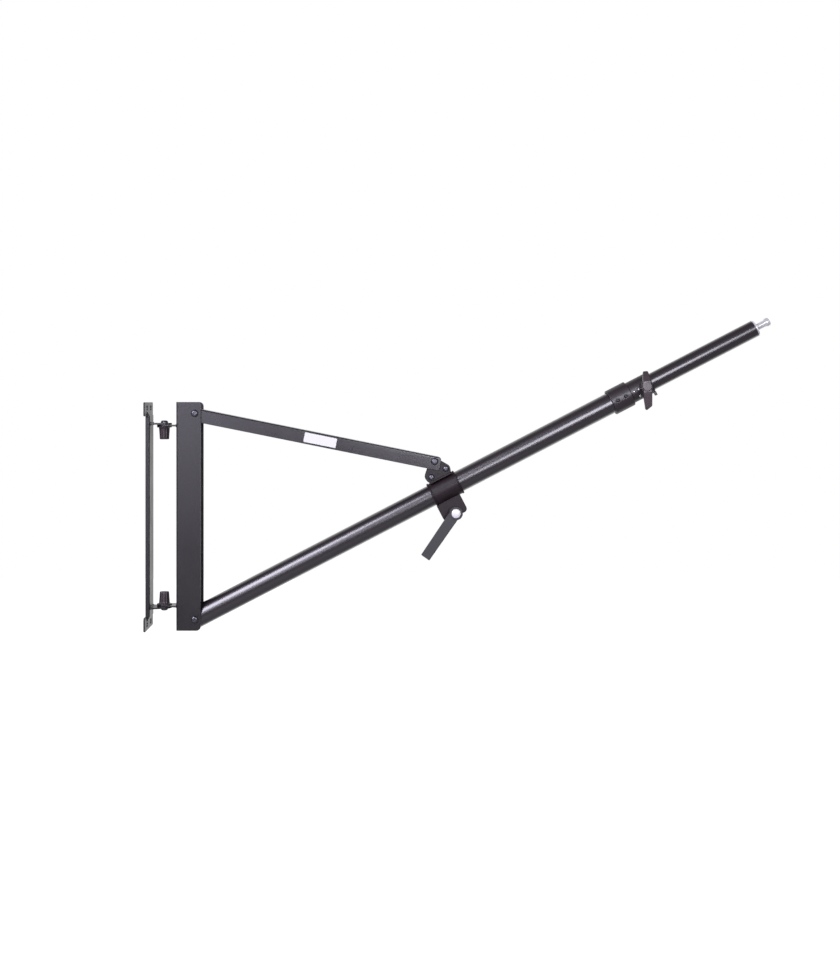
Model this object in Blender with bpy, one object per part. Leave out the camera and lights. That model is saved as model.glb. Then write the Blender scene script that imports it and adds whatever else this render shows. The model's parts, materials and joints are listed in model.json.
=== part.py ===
"""Wall boom arm: a post swings on a wall plate and carries a telescopic boom held up by a sliding brace.

Frame: the wall is the plane X = 0, +X points out into the room, +Z is up, and the origin is the
middle of the wall plate's back. Lengths are in metres.
"""

import math

import bmesh
import bpy
from mathutils import Matrix, Vector

MM = 0.001

# Clearances
SEAT_GAP = 0.3 * MM
BOLT_CLEARANCE = 0.3 * MM
SLIDE_CLEARANCE = 0.3 * MM

# Wall plate, pressed from one sheet
WALL_PLATE_HEIGHT = 424 * MM
WALL_TAB_WIDTH = 93 * MM
WALL_TAB_CORNER = 4 * MM
WALL_TAB_HEIGHT = 26 * MM
WALL_SHEET = 3 * MM
WALL_CHANNEL_WIDTH = 46 * MM
WALL_CHANNEL_DEPTH = 8 * MM
WALL_CHANNEL_RAMP = 9 * MM
WALL_CHANNEL_BEND = 2.5 * MM
WALL_CHANNEL_TO_END = 16 * MM
FIXING_SLOT_LENGTH = 16 * MM
FIXING_SLOT_WIDTH = 9 * MM
FIXING_SLOT_SPACING = 42 * MM
FIXING_SLOT_TO_END = 10.5 * MM

# Swing hinge: two pairs of ears, each clamped by a bolt and a ribbed knob
HINGE_FROM_WALL = 32 * MM
HINGE_SPACING = 343.5 * MM
EAR_SHEET = 3 * MM
EAR_TIP_RADIUS = 14 * MM
WALL_EAR_ROOT_WIDTH = 46 * MM
POST_EAR_ROOT_WIDTH = 40 * MM
HINGE_BOLT_DIAMETER = 8 * MM
HINGE_BOLT_LENGTH = 26 * MM
HINGE_HEAD_DIAMETER = 14 * MM
HINGE_HEAD_HEIGHT = 4.5 * MM
KNOB_LENGTH = 24 * MM
KNOB_BORE_DEPTH = 20 * MM
KNOB_FLANGE_DIAMETER = 28 * MM
KNOB_FLANGE_THICKNESS = 1.4 * MM
KNOB_ROOT_DIAMETER = 19.5 * MM
KNOB_TIP_DIAMETER = 17.5 * MM
KNOB_RIB_DEPTH = 0.7 * MM
KNOB_RIBS = 14

# Post, a folded channel open to the room
POST_HEIGHT = 425 * MM
POST_WIDTH = 46.5 * MM
POST_DEPTH = 45.8 * MM
POST_SHEET = 2 * MM
POST_BEND = 3.5 * MM
POST_CORNER = 8 * MM
POST_WEB_FROM_HINGE = 25 * MM

# Triangle of pivots
PIVOT_SPACING = 383 * MM
PIVOT_FROM_WEB = 34.5 * MM
BOOM_ANGLE = math.radians(27.36)
BRACE_LENGTH = 454.9 * MM
BRACKET_PIVOT_HEIGHT = 55.6 * MM

# Pivot bolts with button heads and lock nuts
PIVOT_BOLT_DIAMETER = 8 * MM
BUTTON_HEAD_DIAMETER = 13.5 * MM
BUTTON_HEAD_HEIGHT = 4 * MM
HEX_SOCKET_WIDTH = 5 * MM
HEX_SOCKET_DEPTH = 2.2 * MM
NUT_WIDTH = 13 * MM
NUT_HEIGHT = 7.5 * MM
NUT_CHAMFER_SHARE = 0.7
BOLT_END_STANDOUT = 1.5 * MM
WASHER_DIAMETER = 20 * MM
SPACER_DIAMETER = 12 * MM

# Brace, a folded channel open downwards
BRACE_WIDTH = 38 * MM
BRACE_HEIGHT = 25 * MM
BRACE_SHEET = 2 * MM
BRACE_BEND = 3 * MM
BRACE_PIVOT_BELOW_TOP = 9.5 * MM
BRACE_ROOT_OVERHANG = 10 * MM
BRACE_TIP_OVERHANG = 11.5 * MM
BRACE_END_CORNER = 5 * MM
ROOT_SLOT_DROP = 8.2 * MM
ROOT_SLOT_SHIFT = 0.7 * MM
ROOT_SLOT_CLEARANCE = 0.8 * MM

# Outer tube
OUTER_TUBE_DIAMETER = 40 * MM
OUTER_TUBE_WALL = 1.8 * MM
OUTER_TUBE_LENGTH = 919 * MM
OUTER_TUBE_OVERHANG = 11 * MM
ROOT_PLUG_LENGTH = 40 * MM
ROOT_PLUG_CAP = 1.6 * MM
GUIDE_BUSH_LENGTH = 26 * MM

# Inner tube and spigot
INNER_TUBE_DIAMETER = 32 * MM
INNER_TUBE_WALL = 1.5 * MM
INNER_TUBE_LENGTH = 880 * MM
INNER_TUBE_REACH = 1177.5 * MM
TAIL_BUSH_LENGTH = 30 * MM
TAIL_BUSH_FLOOR = 3 * MM
TAIL_BUSH_HOLE = 18 * MM
TIP_PLUG_LENGTH = 28 * MM
TIP_PLUG_FLANGE = 3 * MM
TIP_PLUG_CONE = 4 * MM
TIP_PLUG_CONE_DIAMETER = 20 * MM
SPIGOT_DIAMETER = 16 * MM
SPIGOT_NECK_DIAMETER = 12.4 * MM
SPIGOT_STANDOUT = 28 * MM
SPIGOT_HEAD_LENGTH = 8.5 * MM
SPIGOT_STEM_DIAMETER = 10 * MM
SPIGOT_STEM_LENGTH = 18 * MM
SPIGOT_CHAMFER = 1.2 * MM

# Reducer sleeve with its split nose, and the lock collar round the nose
REDUCER_DIAMETER = 48.4 * MM
REDUCER_ENGAGEMENT = 33 * MM
REDUCER_BODY_LENGTH = 39 * MM
REDUCER_CHAMFER = 0.8 * MM
NOSE_DIAMETER = 36 * MM
NOSE_LENGTH = 44.5 * MM
NOSE_LIP_LENGTH = 3.2 * MM
NOSE_LIP_DIAMETER = 39.4 * MM
NOSE_LUG_WIDTH = 8 * MM
NOSE_LUG_DROP = 6.5 * MM
NOSE_LUG_OVERHANG = 1.5 * MM
NOSE_SLIT_WIDTH = 1.6 * MM
NOSE_SLIT_LENGTH = 36 * MM
LOCK_COLLAR_DIAMETER = 41 * MM
LOCK_BOSS_DIAMETER = 16 * MM
LOCK_BOSS_STANDOUT = 10.5 * MM
LOCK_SCREW_FROM_NOSE_TIP = 17.5 * MM
LOCK_STUD_DIAMETER = 8 * MM
LOCK_STUD_FIT = 3.7 * MM
LOCK_STUD_LENGTH = 22 * MM
LOCK_PAD_DIAMETER = 7 * MM
LOCK_PAD_THICKNESS = 1.4 * MM
REDUCER_SCREW_HEAD = 6.5 * MM
REDUCER_SCREW_HEAD_HEIGHT = 1.6 * MM
REDUCER_SCREW_SHANK = 4 * MM
REDUCER_SCREW_SPACING = 16.5 * MM
REDUCER_SCREW_INSET = 10.5 * MM
RIVET_HEAD_DIAMETER = 4.4 * MM
RIVET_HEAD_HEIGHT = 1.2 * MM
RIVET_SHANK_DIAMETER = 2.4 * MM
RIVET_INSET = 6.5 * MM
RIVET_STAGGER = 6.5 * MM
RIVET_SPACING = 9.3 * MM
RIVET_ANGLE = math.radians(36)

# Tee handle
TEE_HUB_DIAMETER = 19 * MM
TEE_HUB_LENGTH = 19 * MM
TEE_WING_LOWER = 43 * MM
TEE_WING_UPPER = 28.5 * MM
TEE_WING_ROOT_WIDTH = 17 * MM
TEE_WING_TIP_WIDTH = 13 * MM
TEE_WING_TOP_WIDTH = 10 * MM
TEE_WING_SLANT = 5.5 * MM
TEE_WING_THICKNESS = 10 * MM
TEE_WING_EDGE = 2.5 * MM
TEE_WING_ROUND = 1.2 * MM
TEE_LEAN = math.radians(5)

# Sliding collar
LINER_LENGTH = 57 * MM
LINER_TAIL = 33.65 * MM
LINER_RIM_LENGTH = 3.5 * MM
LINER_RIM_DIAMETER = 47 * MM
LINER_RIM_EDGE = 0.6 * MM
LINER_WALL = 0.8 * MM
COLLAR_WALL = 1.0 * MM
SHELF_TOP = 24.4 * MM
SHELF_THICKNESS = 2.6 * MM
SHELF_TAIL = 26.9 * MM
SHELF_LENGTH = 45.3 * MM
SHELF_WIDTH = 39 * MM
SHELF_CORNER = 2 * MM
LUG_WIDTH = 26.8 * MM
LUG_LOBE = 6 * MM
CHEEK_WIDTH = 18 * MM
CHEEK_SLIT = 5 * MM
CHEEK_TAIL = 34.5 * MM
CHEEK_LENGTH = 48.5 * MM
CHEEK_BOTTOM = 55 * MM
CHEEK_CORNER = 7 * MM

# Bracket plates bolted to the collar's lug
BRACKET_SHEET = 3 * MM
BRACKET_TOP_LOBE = 7 * MM
BRACKET_FRONT_LOBE = 8.6 * MM
BRACKET_REAR_LOBE = 11.2 * MM
BRACKET_FRONT_BOLT = (12.35 * MM, 34.0 * MM)
BRACKET_REAR_BOLT = (-18.65 * MM, 32.0 * MM)
BRACKET_BOLT_DIAMETER = 6 * MM
BRACKET_HEAD_DIAMETER = 11 * MM
BRACKET_HEAD_HEIGHT = 3.2 * MM
BRACKET_NUT_WIDTH = 10 * MM
BRACKET_NUT_HEIGHT = 5.5 * MM

# Clamp lever under the collar
LEVER_ALONG = -9.15 * MM
LEVER_BELOW = 47.6 * MM
CLAMP_BOLT_DIAMETER = 8 * MM
CLAMP_HEAD_WIDTH = 13 * MM
CLAMP_HEAD_HEIGHT = 5.5 * MM
LEVER_WASHER_THICKNESS = 1.5 * MM
LEVER_WASHER_DIAMETER = 17 * MM
LEVER_HUB_DIAMETER = 25 * MM
LEVER_HUB_LENGTH = 21 * MM
LEVER_LENGTH = 100 * MM
LEVER_WIDTH = 18.5 * MM
LEVER_THICKNESS = 5 * MM
LEVER_ROOT_FLARE = 2 * MM
LEVER_CORNER = 1.5 * MM
LEVER_EDGE = 0.6 * MM
LEVER_DIRECTION = math.radians(235)
LEVER_CAP_DIAMETER = 17 * MM
LEVER_CAP_HEIGHT = 3 * MM

# Facets
ROUND_STEPS = 36
SMALL_STEPS = 16
ARC_STEPS = 4
DOME_STEPS = 3
RIB_STEPS = 3
SMOOTH_ANGLE = math.radians(32)
CUTTER_OVERRUN = 4 * MM

# Places that follow from the sizes above
HINGE_HALF = HINGE_SPACING / 2
POST_WEB_X = POST_WEB_FROM_HINGE
PIVOT_X = POST_WEB_X + PIVOT_FROM_WEB
PIVOT_HALF = PIVOT_SPACING / 2
POST_HALF_WIDTH = POST_WIDTH / 2
POST_INNER_HALF = POST_HALF_WIDTH - POST_SHEET
BRACE_HALF_WIDTH = BRACE_WIDTH / 2
BRACE_INNER_HALF = BRACE_HALF_WIDTH - BRACE_SHEET
OUTER_RADIUS = OUTER_TUBE_DIAMETER / 2
OUTER_BORE = OUTER_RADIUS - OUTER_TUBE_WALL
INNER_RADIUS = INNER_TUBE_DIAMETER / 2
INNER_BORE = INNER_RADIUS - INNER_TUBE_WALL
OUTER_TUBE_TIP = OUTER_TUBE_LENGTH - OUTER_TUBE_OVERHANG
REDUCER_START = OUTER_TUBE_TIP - REDUCER_ENGAGEMENT
REDUCER_FRONT = REDUCER_START + REDUCER_BODY_LENGTH
NOSE_TIP = REDUCER_FRONT + NOSE_LENGTH
LOCK_SCREW_ALONG = NOSE_TIP - LOCK_SCREW_FROM_NOSE_TIP
GUIDE_BORE = INNER_RADIUS + SLIDE_CLEARANCE
NOSE_RADIUS = NOSE_DIAMETER / 2
LOCK_COLLAR_RADIUS = LOCK_COLLAR_DIAMETER / 2
LOCK_COLLAR_BORE = NOSE_RADIUS + SEAT_GAP
LOCK_BOSS_FACE = LOCK_COLLAR_RADIUS + LOCK_BOSS_STANDOUT
LINER_BORE = OUTER_RADIUS + SLIDE_CLEARANCE
LINER_RADIUS = LINER_BORE + LINER_WALL
COLLAR_BORE = LINER_RADIUS + SEAT_GAP
COLLAR_RADIUS = COLLAR_BORE + COLLAR_WALL
LUG_HALF = LUG_WIDTH / 2
BRACKET_INNER = LUG_HALF + SEAT_GAP
BRACKET_OUTER = BRACKET_INNER + BRACKET_SHEET
CHEEK_HALF = CHEEK_WIDTH / 2
LEVER_HUB_FACE = CHEEK_HALF + LEVER_WASHER_THICKNESS + 2 * SEAT_GAP
LEVER_OUTER_FACE = LEVER_HUB_FACE + LEVER_HUB_LENGTH


def brace_reach():
    """Distance along the boom from its root pivot to the foot of the bracket pivot, from the triangle."""
    half_sum = PIVOT_SPACING * math.sin(BOOM_ANGLE)
    product = (
        BRACKET_PIVOT_HEIGHT**2
        + PIVOT_SPACING**2
        - 2 * PIVOT_SPACING * BRACKET_PIVOT_HEIGHT * math.cos(BOOM_ANGLE)
        - BRACE_LENGTH**2
    )
    return half_sum + math.sqrt(half_sum**2 - product)


COLLAR_ALONG = brace_reach()


def brace_angle():
    """Slope of the brace from the post's upper pivot to the bracket pivot, above the horizontal."""
    out = COLLAR_ALONG * math.cos(BOOM_ANGLE) - BRACKET_PIVOT_HEIGHT * math.sin(BOOM_ANGLE)
    up = COLLAR_ALONG * math.sin(BOOM_ANGLE) + BRACKET_PIVOT_HEIGHT * math.cos(BOOM_ANGLE)
    return math.atan2(up - PIVOT_SPACING, out)


# Finishes
FINISHES = {
    "satin_black": ((0.025, 0.024, 0.030), 0.35, 0.0),
    "gloss_black": ((0.018, 0.017, 0.022), 0.22, 0.0),
    "black_plastic": ((0.030, 0.028, 0.030), 0.55, 0.0),
    "cast_black": ((0.030, 0.028, 0.030), 0.45, 0.0),
    "lever_grey": ((0.13, 0.13, 0.135), 0.50, 0.3),
    "bright_steel": ((0.75, 0.75, 0.77), 0.18, 1.0),
    "black_steel": ((0.09, 0.09, 0.10), 0.35, 0.8),
    "nylon": ((0.55, 0.55, 0.52), 0.55, 0.0),
    "aluminium": ((0.78, 0.78, 0.80), 0.25, 1.0),
    "brass": ((0.72, 0.55, 0.25), 0.30, 1.0),
}


def clear_scene():
    for old in list(bpy.data.objects):
        bpy.data.objects.remove(old, do_unlink=True)


def finish(name):
    """One Principled material for each finish, made when it is first asked for."""
    material = bpy.data.materials.get(name)
    if material is None:
        colour, roughness, metallic = FINISHES[name]
        material = bpy.data.materials.new(name)
        material.use_nodes = True
        shader = material.node_tree.nodes["Principled BSDF"]
        shader.inputs["Base Color"].default_value = (*colour, 1.0)
        shader.inputs["Roughness"].default_value = roughness
        shader.inputs["Metallic"].default_value = metallic
    return material


def add_frame(name, place, pitch=0.0, parent=None):
    """An empty on a joint's axis; pitch lifts its +X above the horizontal."""
    frame = bpy.data.objects.new(name, None)
    frame.location = place
    frame.rotation_euler = (0.0, -pitch, 0.0)
    frame.parent = parent
    bpy.context.collection.objects.link(frame)
    return frame


def add_piece(name, shell, finish_name, parent):
    """Turns a finished shell into a named piece, smooth across shallow edges."""
    bmesh.ops.recalc_face_normals(shell, faces=shell.faces)
    mesh = bpy.data.meshes.new(name)
    shell.to_mesh(mesh)
    shell.free()
    mesh.shade_smooth()
    mesh.set_sharp_from_angle(angle=SMOOTH_ANGLE)
    mesh.materials.append(finish(finish_name))
    piece = bpy.data.objects.new(name, mesh)
    piece.parent = parent
    bpy.context.collection.objects.link(piece)
    return piece


def shape(piece, shell, operation):
    """Cuts a piece by a shell, adds the shell to it, or keeps only what lies inside the shell."""
    bmesh.ops.recalc_face_normals(shell, faces=shell.faces)
    mesh = bpy.data.meshes.new(piece.name + "_tool")
    shell.to_mesh(mesh)
    shell.free()
    tool = bpy.data.objects.new(mesh.name, mesh)
    tool.parent = piece.parent
    tool.hide_render = True
    tool.display_type = "WIRE"
    bpy.context.collection.objects.link(tool)
    modifier = piece.modifiers.new(operation.title(), "BOOLEAN")
    modifier.operation = operation
    modifier.solver = "EXACT"
    modifier.object = tool


def arc(centre, radius, start, end, steps=ARC_STEPS):
    """Points on an arc, both ends included; the angles are in degrees."""
    points = []
    for i in range(steps + 1):
        angle = math.radians(start + (end - start) * i / steps)
        points.append((centre[0] + radius * math.cos(angle), centre[1] + radius * math.sin(angle)))
    return points


def rounded_box(low, high, radius):
    """Outline of a rectangle with four equal round corners."""
    outline = arc((high[0] - radius, high[1] - radius), radius, 0, 90)
    outline += arc((low[0] + radius, high[1] - radius), radius, 90, 180)
    outline += arc((low[0] + radius, low[1] + radius), radius, 180, 270)
    outline += arc((high[0] - radius, low[1] + radius), radius, 270, 360)
    return outline


def polygon(sides, width, turn=0.0):
    """Outline of a regular polygon, width measured across its flats."""
    radius = width / 2 / math.cos(math.pi / sides)
    return [
        (radius * math.cos(turn + 2 * math.pi * i / sides), radius * math.sin(turn + 2 * math.pi * i / sides))
        for i in range(sides)
    ]


def hull(points):
    """Convex outline round a set of points, counter-clockwise."""
    ordered = sorted(set(points))

    def chain(run):
        kept = []
        for p in run:
            while len(kept) > 1:
                (ax, ay), (bx, by) = kept[-2:]
                if (bx - ax) * (p[1] - ay) - (by - ay) * (p[0] - ax) > 0:
                    break
                kept.pop()
            kept.append(p)
        return kept[:-1]

    return chain(ordered) + chain(ordered[::-1])


def prism(outline, low, high, across="Z"):
    """Extrudes an outline between two levels. Across Z it lies in XY, across Y in XZ, across X in YZ."""
    place = {
        "Z": lambda a, b: Vector((a, b, low)),
        "Y": lambda a, b: Vector((a, low, b)),
        "X": lambda a, b: Vector((low, a, b)),
    }[across]
    lift = {"Z": Vector((0, 0, 1)), "Y": Vector((0, 1, 0)), "X": Vector((1, 0, 0))}[across] * (high - low)
    shell = bmesh.new()
    face = shell.faces.new([shell.verts.new(place(a, b)) for a, b in outline])
    grown = bmesh.ops.extrude_face_region(shell, geom=[face])
    moved = [v for v in grown["geom"] if isinstance(v, bmesh.types.BMVert)]
    bmesh.ops.translate(shell, verts=moved, vec=lift)
    return shell


AXIS_TURN = {
    "X": Matrix.Rotation(math.pi / 2, 4, "Y"),
    "Y": Matrix.Rotation(-math.pi / 2, 4, "X"),
    "Z": Matrix.Identity(4),
}


def turned(profile, axis="Z", centre=(0, 0, 0), steps=SMALL_STEPS):
    """Revolves a profile of (radius, height) points about an axis through the centre.

    A profile whose ends lie on the axis makes a solid; any other is closed on itself and makes a ring.
    """
    shell = bmesh.new()
    verts = [shell.verts.new((radius, 0, height)) for radius, height in profile]
    edges = [shell.edges.new(pair) for pair in zip(verts, verts[1:])]
    if profile[0][0] > 0:
        edges.append(shell.edges.new((verts[-1], verts[0])))
    bmesh.ops.spin(
        shell, geom=verts + edges, cent=(0, 0, 0), axis=(0, 0, 1), angle=2 * math.pi, steps=steps, use_duplicate=False
    )
    bmesh.ops.remove_doubles(shell, verts=shell.verts, dist=0.001 * MM)
    bmesh.ops.transform(shell, matrix=Matrix.Translation(centre) @ AXIS_TURN[axis], verts=shell.verts)
    return shell


def ring(bore, radius, low, high, axis="Z", centre=(0, 0, 0), steps=SMALL_STEPS):
    """A plain tube or washer between two levels along its axis."""
    return turned([(bore, low), (radius, low), (radius, high), (bore, high)], axis, centre, steps)


def rod(radius, low, high, axis="Z", centre=(0, 0, 0), steps=SMALL_STEPS):
    """A plain round bar or drill; its facets are turned a third of a step off the parts' own."""
    shell = turned([(0, low), (radius, low), (radius, high), (0, high)], steps=steps)
    facets_off = Matrix.Rotation(2 * math.pi / steps / 3, 4, "Z")
    place = Matrix.Translation(centre) @ AXIS_TURN[axis] @ facets_off
    bmesh.ops.transform(shell, matrix=place, verts=shell.verts)
    return shell


def dome(radius, base, top):
    """Profile points of a domed head, from its rim at the base to the axis at the top."""
    return [
        (radius * math.cos(t), base + (top - base) * math.sin(t))
        for t in [math.pi / 2 * i / DOME_STEPS for i in range(DOME_STEPS)]
    ] + [(0, top)]


def joined(shells):
    """Several closed shells as one cutter."""
    total = bmesh.new()
    for shell in shells:
        mesh = bpy.data.meshes.new("joined_part")
        bmesh.ops.recalc_face_normals(shell, faces=shell.faces)
        shell.to_mesh(mesh)
        shell.free()
        total.from_mesh(mesh)
        bpy.data.meshes.remove(mesh)
    return total


def channel_outline(width, depth, sheet, bend):
    """Section of a folded channel: the web lies along the first axis, the legs run to +depth."""
    half = width / 2
    inner = bend - sheet
    outline = arc((-half + bend, bend), bend, 180, 270)
    outline += arc((half - bend, bend), bend, 270, 360)
    outline += [(half, depth), (half - sheet, depth)]
    outline += arc((half - bend, bend), inner, 0, -90)
    outline += arc((-half + bend, bend), inner, -90, -180)
    outline += [(-half + sheet, depth), (-half, depth)]
    return outline


def add_button_bolt(name, place, diameter, head_diameter, head_height, seat, end, parent):
    """A button-head bolt along Y, its head on the near side with a hexagon socket in it."""
    x, z = place
    radius = diameter / 2
    profile = [(0, end), (radius, end), (radius, -seat), (head_diameter / 2, -seat)]
    profile += dome(head_diameter / 2, -seat - head_height / 4, -seat - head_height)
    piece = add_piece(name, turned(profile, "Y", (x, 0, z)), "black_steel", parent)
    scale = head_diameter / BUTTON_HEAD_DIAMETER
    floor = -seat - head_height + HEX_SOCKET_DEPTH * scale
    socket = [(x + a, z + b) for a, b in polygon(6, HEX_SOCKET_WIDTH * scale)]
    shape(piece, prism(socket, floor - head_height - CUTTER_OVERRUN, floor, "Y"), "DIFFERENCE")


def add_nut(name, place, bolt_diameter, width, height, seat, parent):
    """A hexagon nut along Y on the far side, its outer corners taken off by a cone."""
    x, z = place
    flat = width / 2
    corner = flat / math.cos(math.pi / 6)
    chamfer = (corner - flat) * NUT_CHAMFER_SHARE
    outline = [(x + a, z + b) for a, b in polygon(6, width)]
    piece = add_piece(name, prism(outline, seat, seat + height, "Y"), "bright_steel", parent)
    barrel = [
        (0, seat - CUTTER_OVERRUN),
        (corner + chamfer, seat - CUTTER_OVERRUN),
        (corner + chamfer, seat + height - 2 * chamfer),
        (flat - chamfer, seat + height + chamfer / 2),
        (0, seat + height + chamfer / 2),
    ]
    shape(piece, turned(barrel, "Y", (x, 0, z)), "INTERSECT")
    bore = bolt_diameter / 2 + BOLT_CLEARANCE
    drill = rod(bore, seat - CUTTER_OVERRUN, seat + height + CUTTER_OVERRUN, "Y", (x, 0, z))
    shape(piece, drill, "DIFFERENCE")


def softened(shell, width, segments=2):
    """Rounds the rims of a prism's two end faces."""
    bmesh.ops.recalc_face_normals(shell, faces=shell.faces)
    rims = {edge for face in shell.faces if len(face.verts) > 4 for edge in face.edges}
    bmesh.ops.bevel(shell, geom=list(rims), offset=width, segments=segments, affect="EDGES", profile=0.5)
    return shell


def lobes(circles, corners=()):
    """Outline pulled tight round circles given as (x, y, radius), flat between any sharp corners at its foot."""
    points = []
    last = 360 - 360 / SMALL_STEPS
    for x, y, radius in circles:
        points += arc((x, y), radius, 0, last, SMALL_STEPS - 1)
    if corners:
        foot = min(y for x, y in corners)
        points = [p for p in points if p[1] > foot] + list(corners)
    return hull(points)


def turned_about_x(shell, angle):
    """Turns a shell about the tube's axis."""
    bmesh.ops.transform(shell, matrix=Matrix.Rotation(angle, 4, "X"), verts=shell.verts)
    return shell


def build_wall_plate():
    """Pressed plate: a flat tab with two slots at each end, and a shallow channel standing out between them."""
    half = WALL_PLATE_HEIGHT / 2
    foot = half - WALL_CHANNEL_TO_END
    crest = foot - WALL_CHANNEL_RAMP
    side = WALL_CHANNEL_WIDTH / 2
    front = WALL_CHANNEL_DEPTH
    bend = WALL_CHANNEL_BEND
    section = [(0, -side)]
    section += arc((front - bend, -side + bend), bend, 270, 360)
    section += arc((front - bend, side - bend), bend, 0, 90)
    section += [(0, side)]
    plate = add_piece("wall_plate", prism(section, -foot - CUTTER_OVERRUN, foot + CUTTER_OVERRUN), "satin_black", None)
    ramps = [
        (-CUTTER_OVERRUN, -foot),
        (WALL_SHEET, -foot),
        (front, -crest),
        (front + CUTTER_OVERRUN, -crest),
        (front + CUTTER_OVERRUN, crest),
        (front, crest),
        (WALL_SHEET, foot),
        (-CUTTER_OVERRUN, foot),
    ]
    shape(plate, prism(ramps, -side - CUTTER_OVERRUN, side + CUTTER_OVERRUN, "Y"), "INTERSECT")
    for end in (-1, 1):
        low, high = sorted((end * (half - WALL_TAB_HEIGHT), end * half))
        outline = rounded_box((-WALL_TAB_WIDTH / 2, low), (WALL_TAB_WIDTH / 2, high), WALL_TAB_CORNER)
        shape(plate, prism(outline, 0, WALL_SHEET, "X"), "UNION")
    floor = front - WALL_SHEET
    step = WALL_SHEET / 2
    hollow = [
        (-CUTTER_OVERRUN, -foot + step),
        (0, -foot + step),
        (floor, -crest + step),
        (floor, crest - step),
        (0, foot - step),
        (-CUTTER_OVERRUN, foot - step),
    ]
    shape(plate, prism(hollow, -side + WALL_SHEET, side - WALL_SHEET, "Y"), "DIFFERENCE")
    radius = FIXING_SLOT_WIDTH / 2
    straight = (FIXING_SLOT_LENGTH - FIXING_SLOT_WIDTH) / 2
    slots = []
    for y in (-FIXING_SLOT_SPACING / 2, FIXING_SLOT_SPACING / 2):
        for z in (-half + FIXING_SLOT_TO_END, half - FIXING_SLOT_TO_END):
            outline = lobes([(y - straight, z, radius), (y + straight, z, radius)])
            slots.append(prism(outline, -CUTTER_OVERRUN, WALL_SHEET + CUTTER_OVERRUN, "X"))
    shape(plate, joined(slots), "DIFFERENCE")


def add_ear(name, root_x, root_width, level, parent, axis_x):
    """A flat hinge ear: wide at its root, round about the hinge bolt."""
    toward_tip = 1 if root_x < axis_x else -1
    outline = [(root_x, -root_width / 2)]
    if toward_tip > 0:
        outline += arc((axis_x, 0), EAR_TIP_RADIUS, -80, 80, 2 * ARC_STEPS)
    else:
        outline += arc((axis_x, 0), EAR_TIP_RADIUS, -100, -260, 2 * ARC_STEPS)
    outline += [(root_x, root_width / 2)]
    ear = add_piece(name, prism(outline, level - EAR_SHEET / 2, level + EAR_SHEET / 2), "satin_black", parent)
    radius = HINGE_BOLT_DIAMETER / 2 + BOLT_CLEARANCE
    drill = rod(radius, level - EAR_SHEET - CUTTER_OVERRUN, level + EAR_SHEET + CUTTER_OVERRUN, "Z", (axis_x, 0, 0))
    shape(ear, drill, "DIFFERENCE")


def build_hinge(side, prefix, swing):
    """One end of the swing hinge: wall ear, post ear and the bolt through both. Side is +1 above, -1 below."""
    add_ear(
        prefix + "_wall_ear",
        WALL_CHANNEL_DEPTH + SEAT_GAP,
        WALL_EAR_ROOT_WIDTH,
        side * HINGE_HALF,
        None,
        HINGE_FROM_WALL,
    )
    post_level = HINGE_HALF - EAR_SHEET - SEAT_GAP
    add_ear(prefix + "_post_ear", POST_WEB_X - SEAT_GAP, POST_EAR_ROOT_WIDTH, side * post_level, swing, 0)
    radius = HINGE_BOLT_DIAMETER / 2
    seat = HINGE_HALF + EAR_SHEET / 2 + SEAT_GAP
    profile = [(0, seat - HINGE_BOLT_LENGTH), (radius, seat - HINGE_BOLT_LENGTH), (radius, seat)]
    profile += [(HINGE_HEAD_DIAMETER / 2, seat)]
    profile += dome(HINGE_HEAD_DIAMETER / 2, seat + HINGE_HEAD_HEIGHT / 4, seat + HINGE_HEAD_HEIGHT)
    bolt = turned([(r, side * h) for r, h in profile], "Z", (HINGE_FROM_WALL, 0, 0))
    add_piece(prefix + "_hinge_bolt", bolt, "black_steel", None)


def build_knob(side, name):
    """A tapered plastic knob with ribs and a flange, screwed on the hinge bolt."""
    face = HINGE_HALF - 1.5 * EAR_SHEET - 2 * SEAT_GAP
    axis = add_frame(name + "_axis", (HINGE_FROM_WALL, 0, side * face))
    neck = KNOB_FLANGE_THICKNESS * 2
    root = KNOB_ROOT_DIAMETER / 2
    tip = KNOB_TIP_DIAMETER / 2
    stations = [
        (KNOB_FLANGE_DIAMETER / 2, 0, 0),
        (KNOB_FLANGE_DIAMETER / 2, KNOB_FLANGE_THICKNESS, 0),
        (root, neck, 0),
        (root, neck + KNOB_RIB_DEPTH, KNOB_RIB_DEPTH),
        (tip, KNOB_LENGTH - KNOB_RIB_DEPTH, KNOB_RIB_DEPTH),
        (tip - KNOB_RIB_DEPTH, KNOB_LENGTH, KNOB_RIB_DEPTH),
    ]
    count = RIB_STEPS * KNOB_RIBS
    shell = bmesh.new()
    rings = []
    for radius, depth, rib in stations:
        ring_verts = []
        for i in range(count):
            angle = 2 * math.pi * i / count
            r = radius - rib * (1 - math.cos(KNOB_RIBS * angle)) / 2
            ring_verts.append(shell.verts.new((r * math.cos(angle), r * math.sin(angle), -side * depth)))
        rings.append(ring_verts)
    for a, b in zip(rings, rings[1:]):
        for i in range(count):
            j = (i + 1) % count
            shell.faces.new((a[i], a[j], b[j], b[i]))
    shell.faces.new(rings[0])
    shell.faces.new(rings[-1])
    knob = add_piece(name, shell, "black_plastic", axis)
    radius = HINGE_BOLT_DIAMETER / 2 + BOLT_CLEARANCE
    low, high = sorted((side * CUTTER_OVERRUN, -side * KNOB_BORE_DEPTH))
    shape(knob, rod(radius, low, high), "DIFFERENCE")


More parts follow.
